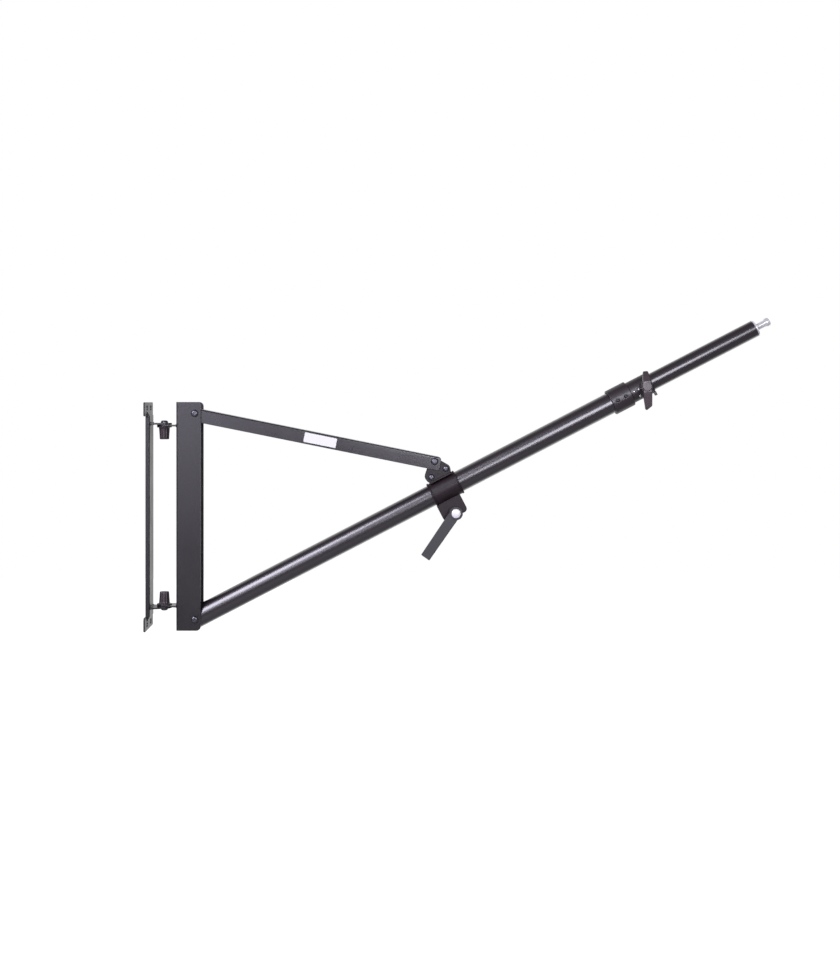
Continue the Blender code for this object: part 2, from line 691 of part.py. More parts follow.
def build_post(swing):
    """Folded channel with its web to the wall; the boom and the brace turn on bolts between its legs."""
    half = POST_HEIGHT / 2
    tip = POST_WEB_X + POST_DEPTH
    section = [(POST_WEB_X + b, a) for a, b in channel_outline(POST_WIDTH, POST_DEPTH, POST_SHEET, POST_BEND)]
    post = add_piece("post_channel", prism(section, -half - CUTTER_OVERRUN, half + CUTTER_OVERRUN), "satin_black", swing)
    outline = [(POST_WEB_X - CUTTER_OVERRUN, -half)]
    outline += arc((tip - POST_CORNER, -half + POST_CORNER), POST_CORNER, 270, 360)
    outline += arc((tip - POST_CORNER, half - POST_CORNER), POST_CORNER, 0, 90)
    outline += [(POST_WEB_X - CUTTER_OVERRUN, half)]
    reach = POST_HALF_WIDTH + CUTTER_OVERRUN
    shape(post, prism(outline, -reach, reach, "Y"), "INTERSECT")
    radius = PIVOT_BOLT_DIAMETER / 2 + BOLT_CLEARANCE
    drills = [rod(radius, -reach, reach, "Y", (PIVOT_X, 0, z)) for z in (-PIVOT_HALF, PIVOT_HALF)]
    shape(post, joined(drills), "DIFFERENCE")


def build_root_fasteners(swing):
    """The two pivot bolts through the post's legs, with their nuts, washers and the brace's spacer."""
    seat = POST_HALF_WIDTH + SEAT_GAP
    end = seat + NUT_HEIGHT + BOLT_END_STANDOUT
    bore = PIVOT_BOLT_DIAMETER / 2 + BOLT_CLEARANCE
    outer = POST_INNER_HALF - SEAT_GAP
    for name, z, carried in (("boom_root", -PIVOT_HALF, OUTER_RADIUS), ("brace_root", PIVOT_HALF, BRACE_HALF_WIDTH)):
        place = (PIVOT_X, z)
        add_button_bolt(
            name + "_bolt",
            place,
            PIVOT_BOLT_DIAMETER,
            BUTTON_HEAD_DIAMETER,
            BUTTON_HEAD_HEIGHT,
            seat,
            end,
            swing,
        )
        add_nut(name + "_nut", place, PIVOT_BOLT_DIAMETER, NUT_WIDTH, NUT_HEIGHT, seat, swing)
        inner = carried + SEAT_GAP
        for side, low, high in (("near", -outer, -inner), ("far", inner, outer)):
            washer = ring(bore, WASHER_DIAMETER / 2, low, high, "Y", (PIVOT_X, 0, z))
            add_piece(side + "_" + name + "_washer", washer, "nylon", swing)
    reach = BRACE_INNER_HALF - SEAT_GAP
    spacer = ring(bore, SPACER_DIAMETER / 2, -reach, reach, "Y", (PIVOT_X, 0, PIVOT_HALF))
    add_piece("brace_root_spacer", spacer, "bright_steel", swing)


def build_outer_tube(boom):
    """Outer tube, the plug that its root bolt bears in, and the bush at its mouth."""
    tube = ring(OUTER_BORE, OUTER_RADIUS, -OUTER_TUBE_OVERHANG, OUTER_TUBE_TIP, "X", steps=ROUND_STEPS)
    outer = add_piece("outer_tube", tube, "satin_black", boom)
    bore = PIVOT_BOLT_DIAMETER / 2 + BOLT_CLEARANCE
    reach = OUTER_RADIUS + CUTTER_OVERRUN
    shape(outer, rod(bore, -reach, reach, "Y"), "DIFFERENCE")
    seat = -OUTER_TUBE_OVERHANG - SEAT_GAP
    fit = OUTER_BORE - SEAT_GAP
    profile = [
        (0, seat - ROOT_PLUG_CAP),
        (OUTER_BORE + OUTER_TUBE_WALL / 2, seat - ROOT_PLUG_CAP),
        (OUTER_RADIUS, seat - ROOT_PLUG_CAP / 2),
        (OUTER_RADIUS, seat),
        (fit, seat),
        (fit, seat + ROOT_PLUG_LENGTH),
        (0, seat + ROOT_PLUG_LENGTH),
    ]
    plug = add_piece("boom_root_plug", turned(profile, "X", steps=ROUND_STEPS), "black_plastic", boom)
    shape(plug, rod(bore, -reach, reach, "Y"), "DIFFERENCE")
    mouth = OUTER_TUBE_TIP - SEAT_GAP
    bush = ring(GUIDE_BORE, fit, mouth - GUIDE_BUSH_LENGTH, mouth, "X", steps=ROUND_STEPS)
    add_piece("guide_bush", bush, "nylon", boom)


def build_reducer(boom):
    """Sleeve on the outer tube's mouth, stepping down to a nose, split four ways, whose lip has a lug below."""
    radius = REDUCER_DIAMETER / 2
    bevel = REDUCER_CHAMFER
    bore = OUTER_RADIUS + SEAT_GAP
    step = OUTER_TUBE_TIP + SEAT_GAP
    lip = NOSE_LIP_DIAMETER / 2
    profile = [
        (bore, REDUCER_START),
        (radius - bevel, REDUCER_START),
        (radius, REDUCER_START + bevel),
        (radius, REDUCER_FRONT - bevel),
        (radius - bevel, REDUCER_FRONT),
        (NOSE_RADIUS, REDUCER_FRONT),
        (NOSE_RADIUS, NOSE_TIP - NOSE_LIP_LENGTH),
        (lip, NOSE_TIP - NOSE_LIP_LENGTH),
        (lip, NOSE_TIP - bevel),
        (lip - bevel, NOSE_TIP),
        (GUIDE_BORE, NOSE_TIP),
        (GUIDE_BORE, step),
        (bore, step),
    ]
    sleeve = add_piece("reducer_sleeve", turned(profile, "X", steps=ROUND_STEPS), "cast_black", boom)
    side = NOSE_LUG_WIDTH / 2
    deep = (lip + NOSE_RADIUS) / 2
    lug = [(-side, -lip - NOSE_LUG_DROP), (side, -lip - NOSE_LUG_DROP), (side, -deep), (-side, -deep)]
    shape(sleeve, prism(lug, NOSE_TIP - NOSE_LIP_LENGTH + SEAT_GAP, NOSE_TIP + NOSE_LUG_OVERHANG, "X"), "UNION")
    slit = NOSE_SLIT_WIDTH / 2
    reach = lip + CUTTER_OVERRUN
    for angle in (math.pi / 4, -math.pi / 4):
        outline = [(-slit, -reach), (slit, -reach), (slit, reach), (-slit, reach)]
        blade = prism(outline, NOSE_TIP - NOSE_SLIT_LENGTH, NOSE_TIP + CUTTER_OVERRUN, "X")
        shape(sleeve, turned_about_x(blade, angle), "DIFFERENCE")
    pad_hole = rod(LOCK_STUD_DIAMETER / 2, -reach, -INNER_RADIUS / 2, "Y", (LOCK_SCREW_ALONG, 0, 0))
    shape(sleeve, pad_hole, "DIFFERENCE")
    screw_hole = REDUCER_SCREW_SHANK / 2 + BOLT_CLEARANCE
    reach = radius + CUTTER_OVERRUN
    holes = [rod(screw_hole, -reach, -OUTER_RADIUS / 2, "Y", (x, 0, 0)) for x in reducer_screw_places()]
    shape(sleeve, joined(holes), "DIFFERENCE")


def reducer_screw_places():
    """Where the two screws stand along the boom."""
    first = REDUCER_START + REDUCER_SCREW_INSET
    return first, first + REDUCER_SCREW_SPACING


def build_reducer_screws(boom):
    """Two screws through the sleeve that bear on the outer tube."""
    seat = REDUCER_DIAMETER / 2 + SEAT_GAP
    head = REDUCER_SCREW_HEAD / 2
    profile = [(0, -OUTER_RADIUS - SEAT_GAP), (REDUCER_SCREW_SHANK / 2, -OUTER_RADIUS - SEAT_GAP)]
    profile += [(REDUCER_SCREW_SHANK / 2, -seat), (head, -seat)]
    profile += dome(head, -seat - REDUCER_SCREW_HEAD_HEIGHT / 4, -seat - REDUCER_SCREW_HEAD_HEIGHT)
    for name, x in zip(("rear", "front"), reducer_screw_places()):
        add_piece(name + "_reducer_screw", turned(profile, "Y", (x, 0, 0)), "black_steel", boom)


def collar_rivet_places():
    """Three rivets beside the lock screw: name, distance along the boom, angle round it."""
    rear = REDUCER_FRONT + RIVET_INSET
    return ("rear", rear, 0.0), ("front", rear + RIVET_SPACING, 0.0), ("lower", rear + RIVET_STAGGER, RIVET_ANGLE)


def build_lock_collar(boom):
    """Ring on the split nose with a threaded boss for the tee handle's stud, its rivets and its pad."""
    low = REDUCER_FRONT + SEAT_GAP
    high = NOSE_TIP - NOSE_LIP_LENGTH - SEAT_GAP
    barrel = rod(LOCK_COLLAR_RADIUS, low, high, "X", steps=ROUND_STEPS)
    collar = add_piece("lock_collar", barrel, "cast_black", boom)
    core = LOCK_COLLAR_BORE / 2
    hole = RIVET_SHANK_DIAMETER / 2 + BOLT_CLEARANCE
    outside = LOCK_COLLAR_RADIUS + CUTTER_OVERRUN
    head = RIVET_HEAD_DIAMETER / 2
    seat = LOCK_COLLAR_RADIUS + SEAT_GAP
    profile = [(0, -LOCK_COLLAR_BORE - SEAT_GAP), (RIVET_SHANK_DIAMETER / 2, -LOCK_COLLAR_BORE - SEAT_GAP)]
    profile += [(RIVET_SHANK_DIAMETER / 2, -seat), (head, -seat)]
    profile += dome(head, -seat - RIVET_HEAD_HEIGHT / 4, -seat - RIVET_HEAD_HEIGHT)
    for name, x, angle in collar_rivet_places():
        shape(collar, turned_about_x(rod(hole, -outside, -core, "Y", (x, 0, 0)), angle), "DIFFERENCE")
        rivet = turned_about_x(turned(profile, "Y", (x, 0, 0)), angle)
        add_piece(name + "_collar_rivet", rivet, "bright_steel", boom)
    centre = (LOCK_SCREW_ALONG, 0, 0)
    shape(collar, rod(LOCK_BOSS_DIAMETER / 2, -LOCK_BOSS_FACE, -core, "Y", centre), "UNION")
    hollow = rod(LOCK_COLLAR_BORE, low - CUTTER_OVERRUN, high + CUTTER_OVERRUN, "X", steps=ROUND_STEPS)
    shape(collar, hollow, "DIFFERENCE")
    bore = LOCK_STUD_DIAMETER / 2 + BOLT_CLEARANCE
    shape(collar, rod(bore, -LOCK_BOSS_FACE - CUTTER_OVERRUN, -core, "Y", centre), "DIFFERENCE")
    face = INNER_RADIUS + SEAT_GAP
    pad = rod(LOCK_PAD_DIAMETER / 2, -face - LOCK_PAD_THICKNESS, -face, "Y", centre)
    add_piece("lock_pad", pad, "brass", boom)


def build_tee_handle(boom):
    """Plastic tee handle moulded on a steel stud that presses the pad on the inner tube."""
    tee = add_frame("tee_axis", (LOCK_SCREW_ALONG, 0, 0), TEE_LEAN - BOOM_ANGLE, boom)
    foot = LOCK_BOSS_FACE + SEAT_GAP
    top = foot + TEE_HUB_LENGTH
    corner = TEE_WING_EDGE
    root = TEE_WING_ROOT_WIDTH / 2 - corner
    tip = TEE_WING_TIP_WIDTH / 2 - corner
    top_tip = TEE_WING_TOP_WIDTH / 2 - corner
    circles = []
    for side, shortened in ((-1, 0), (1, TEE_WING_SLANT)):
        circles += [
            (side * tip, -TEE_WING_LOWER + shortened + corner, corner),
            (side * root, -TEE_HUB_DIAMETER / 4, corner),
            (side * root, TEE_HUB_DIAMETER / 4, corner),
            (side * top_tip, TEE_WING_UPPER - corner, corner),
        ]
    wing = softened(prism(lobes(circles), -top + SEAT_GAP, -top + TEE_WING_THICKNESS, "Y"), TEE_WING_ROUND, 2)
    handle = add_piece("tee_handle", wing, "black_plastic", tee)
    radius = TEE_HUB_DIAMETER / 2
    hub = [(0, -foot), (radius - TEE_WING_ROUND, -foot), (radius, -foot - TEE_WING_ROUND)]
    hub += [(radius, -top + TEE_WING_ROUND), (radius - TEE_WING_ROUND, -top), (0, -top)]
    shape(handle, turned(hub, "Y"), "UNION")
    stud_tip = INNER_RADIUS + LOCK_PAD_THICKNESS + 2 * SEAT_GAP
    stud_end = stud_tip + LOCK_STUD_LENGTH
    bore = LOCK_STUD_DIAMETER / 2 + BOLT_CLEARANCE
    shape(handle, rod(bore, -stud_end - SEAT_GAP, -foot + CUTTER_OVERRUN, "Y"), "DIFFERENCE")
    add_piece("tee_stud", rod(LOCK_STUD_FIT, -stud_end, -stud_tip, "Y"), "bright_steel", tee)


def build_extension(boom):
    """Inner tube with its tail bush, the plug in its mouth and the spigot that carries a lamp."""
    reach = add_frame("extension_axis", (INNER_TUBE_REACH, 0, 0), 0, boom)
    tube = ring(INNER_BORE, INNER_RADIUS, -INNER_TUBE_LENGTH, 0, "X", steps=ROUND_STEPS)
    add_piece("inner_tube", tube, "satin_black", reach)
    seat = -INNER_TUBE_LENGTH - SEAT_GAP
    rear = seat - TAIL_BUSH_FLOOR
    hole = TAIL_BUSH_HOLE / 2
    cup = [
        (hole, rear),
        (OUTER_BORE - SLIDE_CLEARANCE, rear),
        (OUTER_BORE - SLIDE_CLEARANCE, rear + TAIL_BUSH_LENGTH),
        (INNER_RADIUS + SEAT_GAP, rear + TAIL_BUSH_LENGTH),
        (INNER_RADIUS + SEAT_GAP, seat),
        (hole, seat),
    ]
    add_piece("tail_bush", turned(cup, "X", steps=ROUND_STEPS), "nylon", reach)
    stem = INNER_BORE - SEAT_GAP
    bore = SPIGOT_STEM_DIAMETER / 2 + BOLT_CLEARANCE
    face = SEAT_GAP + TIP_PLUG_FLANGE
    crown = face + TIP_PLUG_CONE
    plug = [
        (bore, face - TIP_PLUG_LENGTH),
        (stem, face - TIP_PLUG_LENGTH),
        (stem, SEAT_GAP),
        (INNER_RADIUS, SEAT_GAP),
        (INNER_RADIUS, face - SEAT_GAP),
        (INNER_RADIUS - SEAT_GAP, face),
        (TIP_PLUG_CONE_DIAMETER / 2, face),
        (SPIGOT_NECK_DIAMETER / 2, crown),
        (bore, crown),
    ]
    add_piece("tip_plug", turned(plug, "X", steps=ROUND_STEPS), "aluminium", reach)
    shoulder = crown + SEAT_GAP
    end = face + SPIGOT_STANDOUT
    neck = SPIGOT_NECK_DIAMETER / 2
    head = SPIGOT_DIAMETER / 2
    spigot = [
        (0, shoulder - SPIGOT_STEM_LENGTH),
        (SPIGOT_STEM_DIAMETER / 2, shoulder - SPIGOT_STEM_LENGTH),
        (SPIGOT_STEM_DIAMETER / 2, shoulder),
        (neck, shoulder),
        (neck, end - SPIGOT_HEAD_LENGTH),
        (head, end - SPIGOT_HEAD_LENGTH + SPIGOT_CHAMFER),
        (head, end - SPIGOT_CHAMFER),
        (head - SPIGOT_CHAMFER, end),
        (0, end),
    ]
    add_piece("spigot", turned(spigot, "X", steps=ROUND_STEPS), "bright_steel", reach)


def build_slide_liner(collar):
    """Nylon liner that runs on the outer tube, rimmed at both ends to trap the collar."""
    low = -LINER_TAIL
    high = low + LINER_LENGTH
    rim = LINER_RIM_DIAMETER / 2
    edge = LINER_RIM_EDGE
    profile = [
        (LINER_BORE, low),
        (rim - edge, low),
        (rim, low + edge),
        (rim, low + LINER_RIM_LENGTH),
        (LINER_RADIUS, low + LINER_RIM_LENGTH),
        (LINER_RADIUS, high - LINER_RIM_LENGTH),
        (rim, high - LINER_RIM_LENGTH),
        (rim, high - edge),
        (rim - edge, high),
        (LINER_BORE, high),
    ]
    add_piece("slide_liner", turned(profile, "X", steps=ROUND_STEPS), "black_plastic", collar)


def bracket_bolt_holes(reach):
    """Drills for the bolts that hold the bracket plates."""
    radius = BRACKET_BOLT_DIAMETER / 2 + BOLT_CLEARANCE
    return joined([rod(radius, -reach, reach, "Y", (x, 0, z)) for x, z in (BRACKET_FRONT_BOLT, BRACKET_REAR_BOLT)])


def build_clamp_collar(collar):
    """Cast collar: a split ring with two clamp cheeks below."""
    low = -LINER_TAIL + LINER_RIM_LENGTH + SEAT_GAP
    high = -LINER_TAIL + LINER_LENGTH - LINER_RIM_LENGTH - SEAT_GAP
    body = add_piece("clamp_collar", rod(COLLAR_RADIUS, low, high, "X", steps=ROUND_STEPS), "cast_black", collar)
    front = CHEEK_LENGTH - CHEEK_TAIL
    foot = -CHEEK_BOTTOM
    cheek = [(front, -COLLAR_BORE / 2), (-CHEEK_TAIL, -COLLAR_BORE / 2)]
    cheek += arc((-CHEEK_TAIL + CHEEK_CORNER, foot + CHEEK_CORNER), CHEEK_CORNER, 180, 270)
    cheek += arc((front - CHEEK_CORNER, foot + CHEEK_CORNER), CHEEK_CORNER, 270, 360)
    shape(body, prism(cheek, -CHEEK_HALF, CHEEK_HALF, "Y"), "UNION")
    reach = CHEEK_TAIL + CUTTER_OVERRUN
    rim = LINER_RIM_DIAMETER / 2 + SEAT_GAP
    step = low - SEAT_GAP / 2
    bore = [(0, -reach), (rim, -reach), (rim, step), (COLLAR_BORE, step), (COLLAR_BORE, reach), (0, reach)]
    shape(body, turned(bore, "X", steps=ROUND_STEPS), "DIFFERENCE")
    slit = CHEEK_SLIT / 2
    outline = [(-slit, foot - CUTTER_OVERRUN), (slit, foot - CUTTER_OVERRUN), (slit, -COLLAR_BORE / 2)]
    outline += [(-slit, -COLLAR_BORE / 2)]
    shape(body, prism(outline, -reach, reach, "X"), "DIFFERENCE")
    radius = CLAMP_BOLT_DIAMETER / 2 + BOLT_CLEARANCE
    reach = CHEEK_HALF + CUTTER_OVERRUN
    shape(body, rod(radius, -reach, reach, "Y", (LEVER_ALONG, 0, -LEVER_BELOW)), "DIFFERENCE")


def build_saddle(collar):
    """Saddle brazed on the collar's crown: a shelf with a lug above it for the bracket."""
    shelf_low = SHELF_TOP - SHELF_THICKNESS
    side = SHELF_WIDTH / 2
    plan = rounded_box((-SHELF_TAIL, -side), (SHELF_LENGTH - SHELF_TAIL, side), SHELF_CORNER)
    body = add_piece("collar_saddle", prism(plan, shelf_low, SHELF_TOP), "cast_black", collar)
    lug_foot = SHELF_TOP - SHELF_THICKNESS / 2
    bolts = [(x, z, LUG_LOBE) for x, z in (BRACKET_FRONT_BOLT, BRACKET_REAR_BOLT)]
    corners = [(BRACKET_REAR_BOLT[0] - LUG_LOBE, lug_foot), (BRACKET_FRONT_BOLT[0] + LUG_LOBE, lug_foot)]
    shape(body, prism(lobes(bolts, corners), -LUG_HALF, LUG_HALF, "Y"), "UNION")
    reach = SHELF_LENGTH + CUTTER_OVERRUN
    shape(body, rod(COLLAR_RADIUS + SEAT_GAP, -reach, reach, "X", steps=ROUND_STEPS), "DIFFERENCE")
    shape(body, bracket_bolt_holes(LUG_HALF + CUTTER_OVERRUN), "DIFFERENCE")


def build_bracket(collar):
    """Two steel plates on the lug, their bolts and nuts, and the spacer tube at the brace's pivot."""
    foot = SHELF_TOP + SEAT_GAP
    circles = [(0, BRACKET_PIVOT_HEIGHT, BRACKET_TOP_LOBE)]
    circles += [(*BRACKET_FRONT_BOLT, BRACKET_FRONT_LOBE), (*BRACKET_REAR_BOLT, BRACKET_REAR_LOBE)]
    outline = lobes(circles, [(-SHELF_TAIL, foot), (SHELF_LENGTH - SHELF_TAIL, foot)])
    reach = BRACKET_OUTER + CUTTER_OVERRUN
    pivot = PIVOT_BOLT_DIAMETER / 2 + BOLT_CLEARANCE
    for name, low, high in (
        ("near_bracket_plate", -BRACKET_OUTER, -BRACKET_INNER),
        ("far_bracket_plate", BRACKET_INNER, BRACKET_OUTER),
    ):
        plate = add_piece(name, prism(outline, low, high, "Y"), "satin_black", collar)
        shape(plate, bracket_bolt_holes(reach), "DIFFERENCE")
        shape(plate, rod(pivot, -reach, reach, "Y", (0, 0, BRACKET_PIVOT_HEIGHT)), "DIFFERENCE")
    seat = BRACKET_OUTER + SEAT_GAP
    end = seat + BRACKET_NUT_HEIGHT + BOLT_END_STANDOUT
    size = BRACKET_BOLT_DIAMETER
    for name, place in (("front_bracket", BRACKET_FRONT_BOLT), ("rear_bracket", BRACKET_REAR_BOLT)):
        add_button_bolt(name + "_bolt", place, size, BRACKET_HEAD_DIAMETER, BRACKET_HEAD_HEIGHT, seat, end, collar)
        add_nut(name + "_nut", place, size, BRACKET_NUT_WIDTH, BRACKET_NUT_HEIGHT, seat, collar)
    spacer = ring(pivot, SPACER_DIAMETER / 2, -LUG_HALF, LUG_HALF, "Y", (0, 0, BRACKET_PIVOT_HEIGHT))
    add_piece("bracket_spacer", spacer, "bright_steel", collar)


def build_clamp_lever(collar):
    """Bolt through the cheeks, its washer, and the flat lever that draws them together."""
    centre = (LEVER_ALONG, 0, -LEVER_BELOW)
    seat = CHEEK_HALF + SEAT_GAP
    outline = [(LEVER_ALONG + a, b - LEVER_BELOW) for a, b in polygon(6, CLAMP_HEAD_WIDTH)]
    bolt = add_piece("clamp_bolt", prism(outline, seat, seat + CLAMP_HEAD_HEIGHT, "Y"), "black_steel", collar)
    end = LEVER_OUTER_FACE - LEVER_THICKNESS
    shank = rod(CLAMP_BOLT_DIAMETER / 2, -end + SEAT_GAP, seat + CLAMP_HEAD_HEIGHT / 2, "Y", centre)
    shape(bolt, shank, "UNION")
    bore = CLAMP_BOLT_DIAMETER / 2 + BOLT_CLEARANCE
    washer = ring(bore, LEVER_WASHER_DIAMETER / 2, -seat - LEVER_WASHER_THICKNESS, -seat, "Y", centre)
    add_piece("lever_washer", washer, "bright_steel", collar)
    lever = add_frame("lever_axis", centre, LEVER_DIRECTION - BOOM_ANGLE, collar)
    half = LEVER_WIDTH / 2
    low = -half + LEVER_CORNER
    high = half - LEVER_CORNER
    far_end = LEVER_LENGTH - LEVER_CORNER
    corners = [(0, low - LEVER_ROOT_FLARE), (0, high), (far_end, low), (far_end, high)]
    blade = lobes([(a, b, LEVER_CORNER) for a, b in corners])
    arm = softened(prism(blade, -LEVER_OUTER_FACE, -LEVER_OUTER_FACE + LEVER_THICKNESS, "Y"), LEVER_EDGE, 1)
    handle = add_piece("clamp_lever", arm, "lever_grey", lever)
    radius = LEVER_HUB_DIAMETER / 2
    hub = [(0, -LEVER_HUB_FACE), (radius, -LEVER_HUB_FACE), (radius, -LEVER_OUTER_FACE + LEVER_EDGE)]
    hub += [(radius - LEVER_EDGE, -LEVER_OUTER_FACE - LEVER_EDGE), (0, -LEVER_OUTER_FACE - LEVER_EDGE)]
    shape(handle, turned(hub, "Y", steps=ROUND_STEPS), "UNION")
    shape(handle, rod(bore, -end, -LEVER_HUB_FACE + CUTTER_OVERRUN, "Y"), "DIFFERENCE")
    cap_seat = -LEVER_OUTER_FACE - LEVER_EDGE - SEAT_GAP
    cap = [(0, cap_seat), (LEVER_CAP_DIAMETER / 2, cap_seat)]
    cap += dome(LEVER_CAP_DIAMETER / 2, cap_seat - LEVER_CAP_HEIGHT / 3, cap_seat - LEVER_CAP_HEIGHT)
    add_piece("lever_cap", turned(cap, "Y"), "bright_steel", lever)


def build_brace(collar):
    """Inverted channel from the bracket to the post; its root runs on a slot, its tip on a bolt."""
    axis = add_frame("brace_axis", (0, 0, BRACKET_PIVOT_HEIGHT), brace_angle() - BOOM_ANGLE, collar)
    top = BRACE_PIVOT_BELOW_TOP
    bottom = top - BRACE_HEIGHT
    root = -BRACE_LENGTH - BRACE_ROOT_OVERHANG
    section = [(a, top - b) for a, b in channel_outline(BRACE_WIDTH, BRACE_HEIGHT, BRACE_SHEET, BRACE_BEND)]
    blank = prism(section, root - CUTTER_OVERRUN, BRACE_TIP_OVERHANG + CUTTER_OVERRUN, "X")
    brace = add_piece("brace_channel", blank, "gloss_black", axis)
    reach = BRACE_HALF_WIDTH + CUTTER_OVERRUN
    outline = rounded_box((root, bottom), (BRACE_TIP_OVERHANG, top), BRACE_END_CORNER)
    shape(brace, prism(outline, -reach, reach, "Y"), "INTERSECT")
    radius = PIVOT_BOLT_DIAMETER / 2 + ROOT_SLOT_CLEARANCE
    slot = lobes([(-BRACE_LENGTH, 0, radius), (-BRACE_LENGTH - ROOT_SLOT_SHIFT, -ROOT_SLOT_DROP, radius)])
    shape(brace, prism(slot, -reach, reach, "Y"), "DIFFERENCE")
    bore = PIVOT_BOLT_DIAMETER / 2 + BOLT_CLEARANCE
    shape(brace, rod(bore, -reach, reach, "Y"), "DIFFERENCE")
    seat = BRACE_HALF_WIDTH + SEAT_GAP
    end = seat + NUT_HEIGHT + BOLT_END_STANDOUT
    size = PIVOT_BOLT_DIAMETER
    add_button_bolt("brace_tip_bolt", (0, 0), size, BUTTON_HEAD_DIAMETER, BUTTON_HEAD_HEIGHT, seat, end, axis)
    add_nut("brace_tip_nut", (0, 0), size, NUT_WIDTH, NUT_HEIGHT, seat, axis)


clear_scene()
swing_axis = add_frame("swing_axis", (HINGE_FROM_WALL, 0, 0))
build_wall_plate()
for hinge_side, hinge_name in ((1, "upper"), (-1, "lower")):
    build_hinge(hinge_side, hinge_name, swing_axis)
    build_knob(hinge_side, hinge_name + "_hinge_knob")
build_post(swing_axis)
build_root_fasteners(swing_axis)
boom_axis = add_frame("boom_axis", (PIVOT_X, 0, -PIVOT_HALF), BOOM_ANGLE, swing_axis)
build_outer_tube(boom_axis)
build_reducer(boom_axis)
build_reducer_screws(boom_axis)
build_lock_collar(boom_axis)
build_tee_handle(boom_axis)
build_extension(boom_axis)
collar_axis = add_frame("collar_axis", (COLLAR_ALONG, 0, 0), 0, boom_axis)
build_slide_liner(collar_axis)
build_clamp_collar(collar_axis)
build_saddle(collar_axis)
build_bracket(collar_axis)
build_clamp_lever(collar_axis)
build_brace(collar_axis)
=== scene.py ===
"""Wall boom arm dressed for its picture: a swinging post, a telescopic boom and a sliding brace."""

import json
from math import cos, pi, radians, sin, sqrt

import bpy
from mathutils import Matrix, Vector


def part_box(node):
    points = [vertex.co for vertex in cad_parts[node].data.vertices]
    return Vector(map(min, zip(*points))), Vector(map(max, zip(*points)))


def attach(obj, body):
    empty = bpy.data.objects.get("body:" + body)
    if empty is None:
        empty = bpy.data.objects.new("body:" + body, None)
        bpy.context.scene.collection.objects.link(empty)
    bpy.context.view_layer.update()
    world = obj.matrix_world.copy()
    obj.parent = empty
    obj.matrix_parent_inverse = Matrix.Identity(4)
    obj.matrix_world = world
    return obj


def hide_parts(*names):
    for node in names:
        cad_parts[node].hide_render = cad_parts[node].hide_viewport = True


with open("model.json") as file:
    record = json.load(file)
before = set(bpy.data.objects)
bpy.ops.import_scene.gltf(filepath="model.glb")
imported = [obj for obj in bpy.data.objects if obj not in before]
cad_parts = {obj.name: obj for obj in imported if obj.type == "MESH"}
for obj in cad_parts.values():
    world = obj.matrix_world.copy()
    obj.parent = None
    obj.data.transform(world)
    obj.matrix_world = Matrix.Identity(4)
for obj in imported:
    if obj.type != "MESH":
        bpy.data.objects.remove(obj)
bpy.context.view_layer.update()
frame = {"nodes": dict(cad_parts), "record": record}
scene = bpy.context.scene
scene.view_settings.view_transform = "Standard"
MM = 0.001
finishes = {entry["node"]: entry["material_slot"] for entry in frame["record"]["subparts"]}
carriers = {node: body for body, nodes in frame["record"]["behaviour"]["bodies"].items() for node in nodes}

# Camera
# A level camera looks square at the arm's near side with a standard lens, and its lens is
# shifted so that the picture's edges stand where the photograph's do.
CAMERA_PLACE = Vector((0.408, -2.490, 0.2125))
lens = bpy.data.cameras.new("picture_lens")
lens.lens = 49.8
lens.sensor_width = 36
lens.shift_x = 0.0573
lens.shift_y = -0.08125
lens.clip_end = 60
camera = bpy.data.objects.new("picture_camera", lens)
scene.collection.objects.link(camera)
camera.location = CAMERA_PLACE
camera.rotation_euler = (radians(90), 0, 0)
scene.camera = camera

# Floor and room
# The arm hangs on a wall well above a pale floor. The room and the floor behind it are white to
# the camera and in reflections, and dim on the camera's side, as a studio is.
FLOOR_LEVEL = -1.45
NEAR_GLOW = 0.65
ROOM_FILL = 0.24
DIM_SIDE = 0.12
FLOOR_SIZE = 16


def picked_for_eye_and_mirror(nodes, links):
    """A mix that shows its second shader to the camera and in glossy and clear pieces."""
    seen = nodes.new("ShaderNodeLightPath")
    direct = nodes.new("ShaderNodeMath")
    direct.operation = "MAXIMUM"
    mirrored = nodes.new("ShaderNodeMath")
    mirrored.operation = "MAXIMUM"
    pick = nodes.new("ShaderNodeMixShader")
    links.new(seen.outputs["Is Camera Ray"], direct.inputs[0])
    links.new(seen.outputs["Is Glossy Ray"], direct.inputs[1])
    links.new(direct.outputs[0], mirrored.inputs[0])
    links.new(seen.outputs["Is Transmission Ray"], mirrored.inputs[1])
    links.new(mirrored.outputs[0], pick.inputs[0])
    return seen, pick


bpy.ops.object.select_all(action="DESELECT")
bpy.ops.mesh.primitive_plane_add(size=FLOOR_SIZE, location=(0.6, 2.0, FLOOR_LEVEL))
floor = bpy.context.object
floor.name = "studio_floor"
bpy.ops.object.transform_apply(location=True, rotation=True, scale=True)
floor_paint = bpy.data.materials.new("floor_paint")
floor_paint.use_nodes = True
nodes = floor_paint.node_tree.nodes
links = floor_paint.node_tree.links
paint = nodes["Principled BSDF"]
paint.inputs["Base Color"].default_value = (0.44, 0.44, 0.44, 1)
paint.inputs["Roughness"].default_value = 0.9
paint.inputs["Specular IOR Level"].default_value = 0.1
seen, pick = picked_for_eye_and_mirror(nodes, links)
glow = nodes.new("ShaderNodeEmission")
glow.inputs["Color"].default_value = (1, 1, 1, 1)
spot = nodes.new("ShaderNodeTexCoord")
spot_parts = nodes.new("ShaderNodeSeparateXYZ")
behind = nodes.new("ShaderNodeMapRange")
behind.interpolation_type = "SMOOTHSTEP"
behind.inputs["From Min"].default_value = 0.3
behind.inputs["From Max"].default_value = 1.6
near = nodes.new("ShaderNodeMath")
near.operation = "MULTIPLY"
near.inputs[1].default_value = NEAR_GLOW
level = nodes.new("ShaderNodeMath")
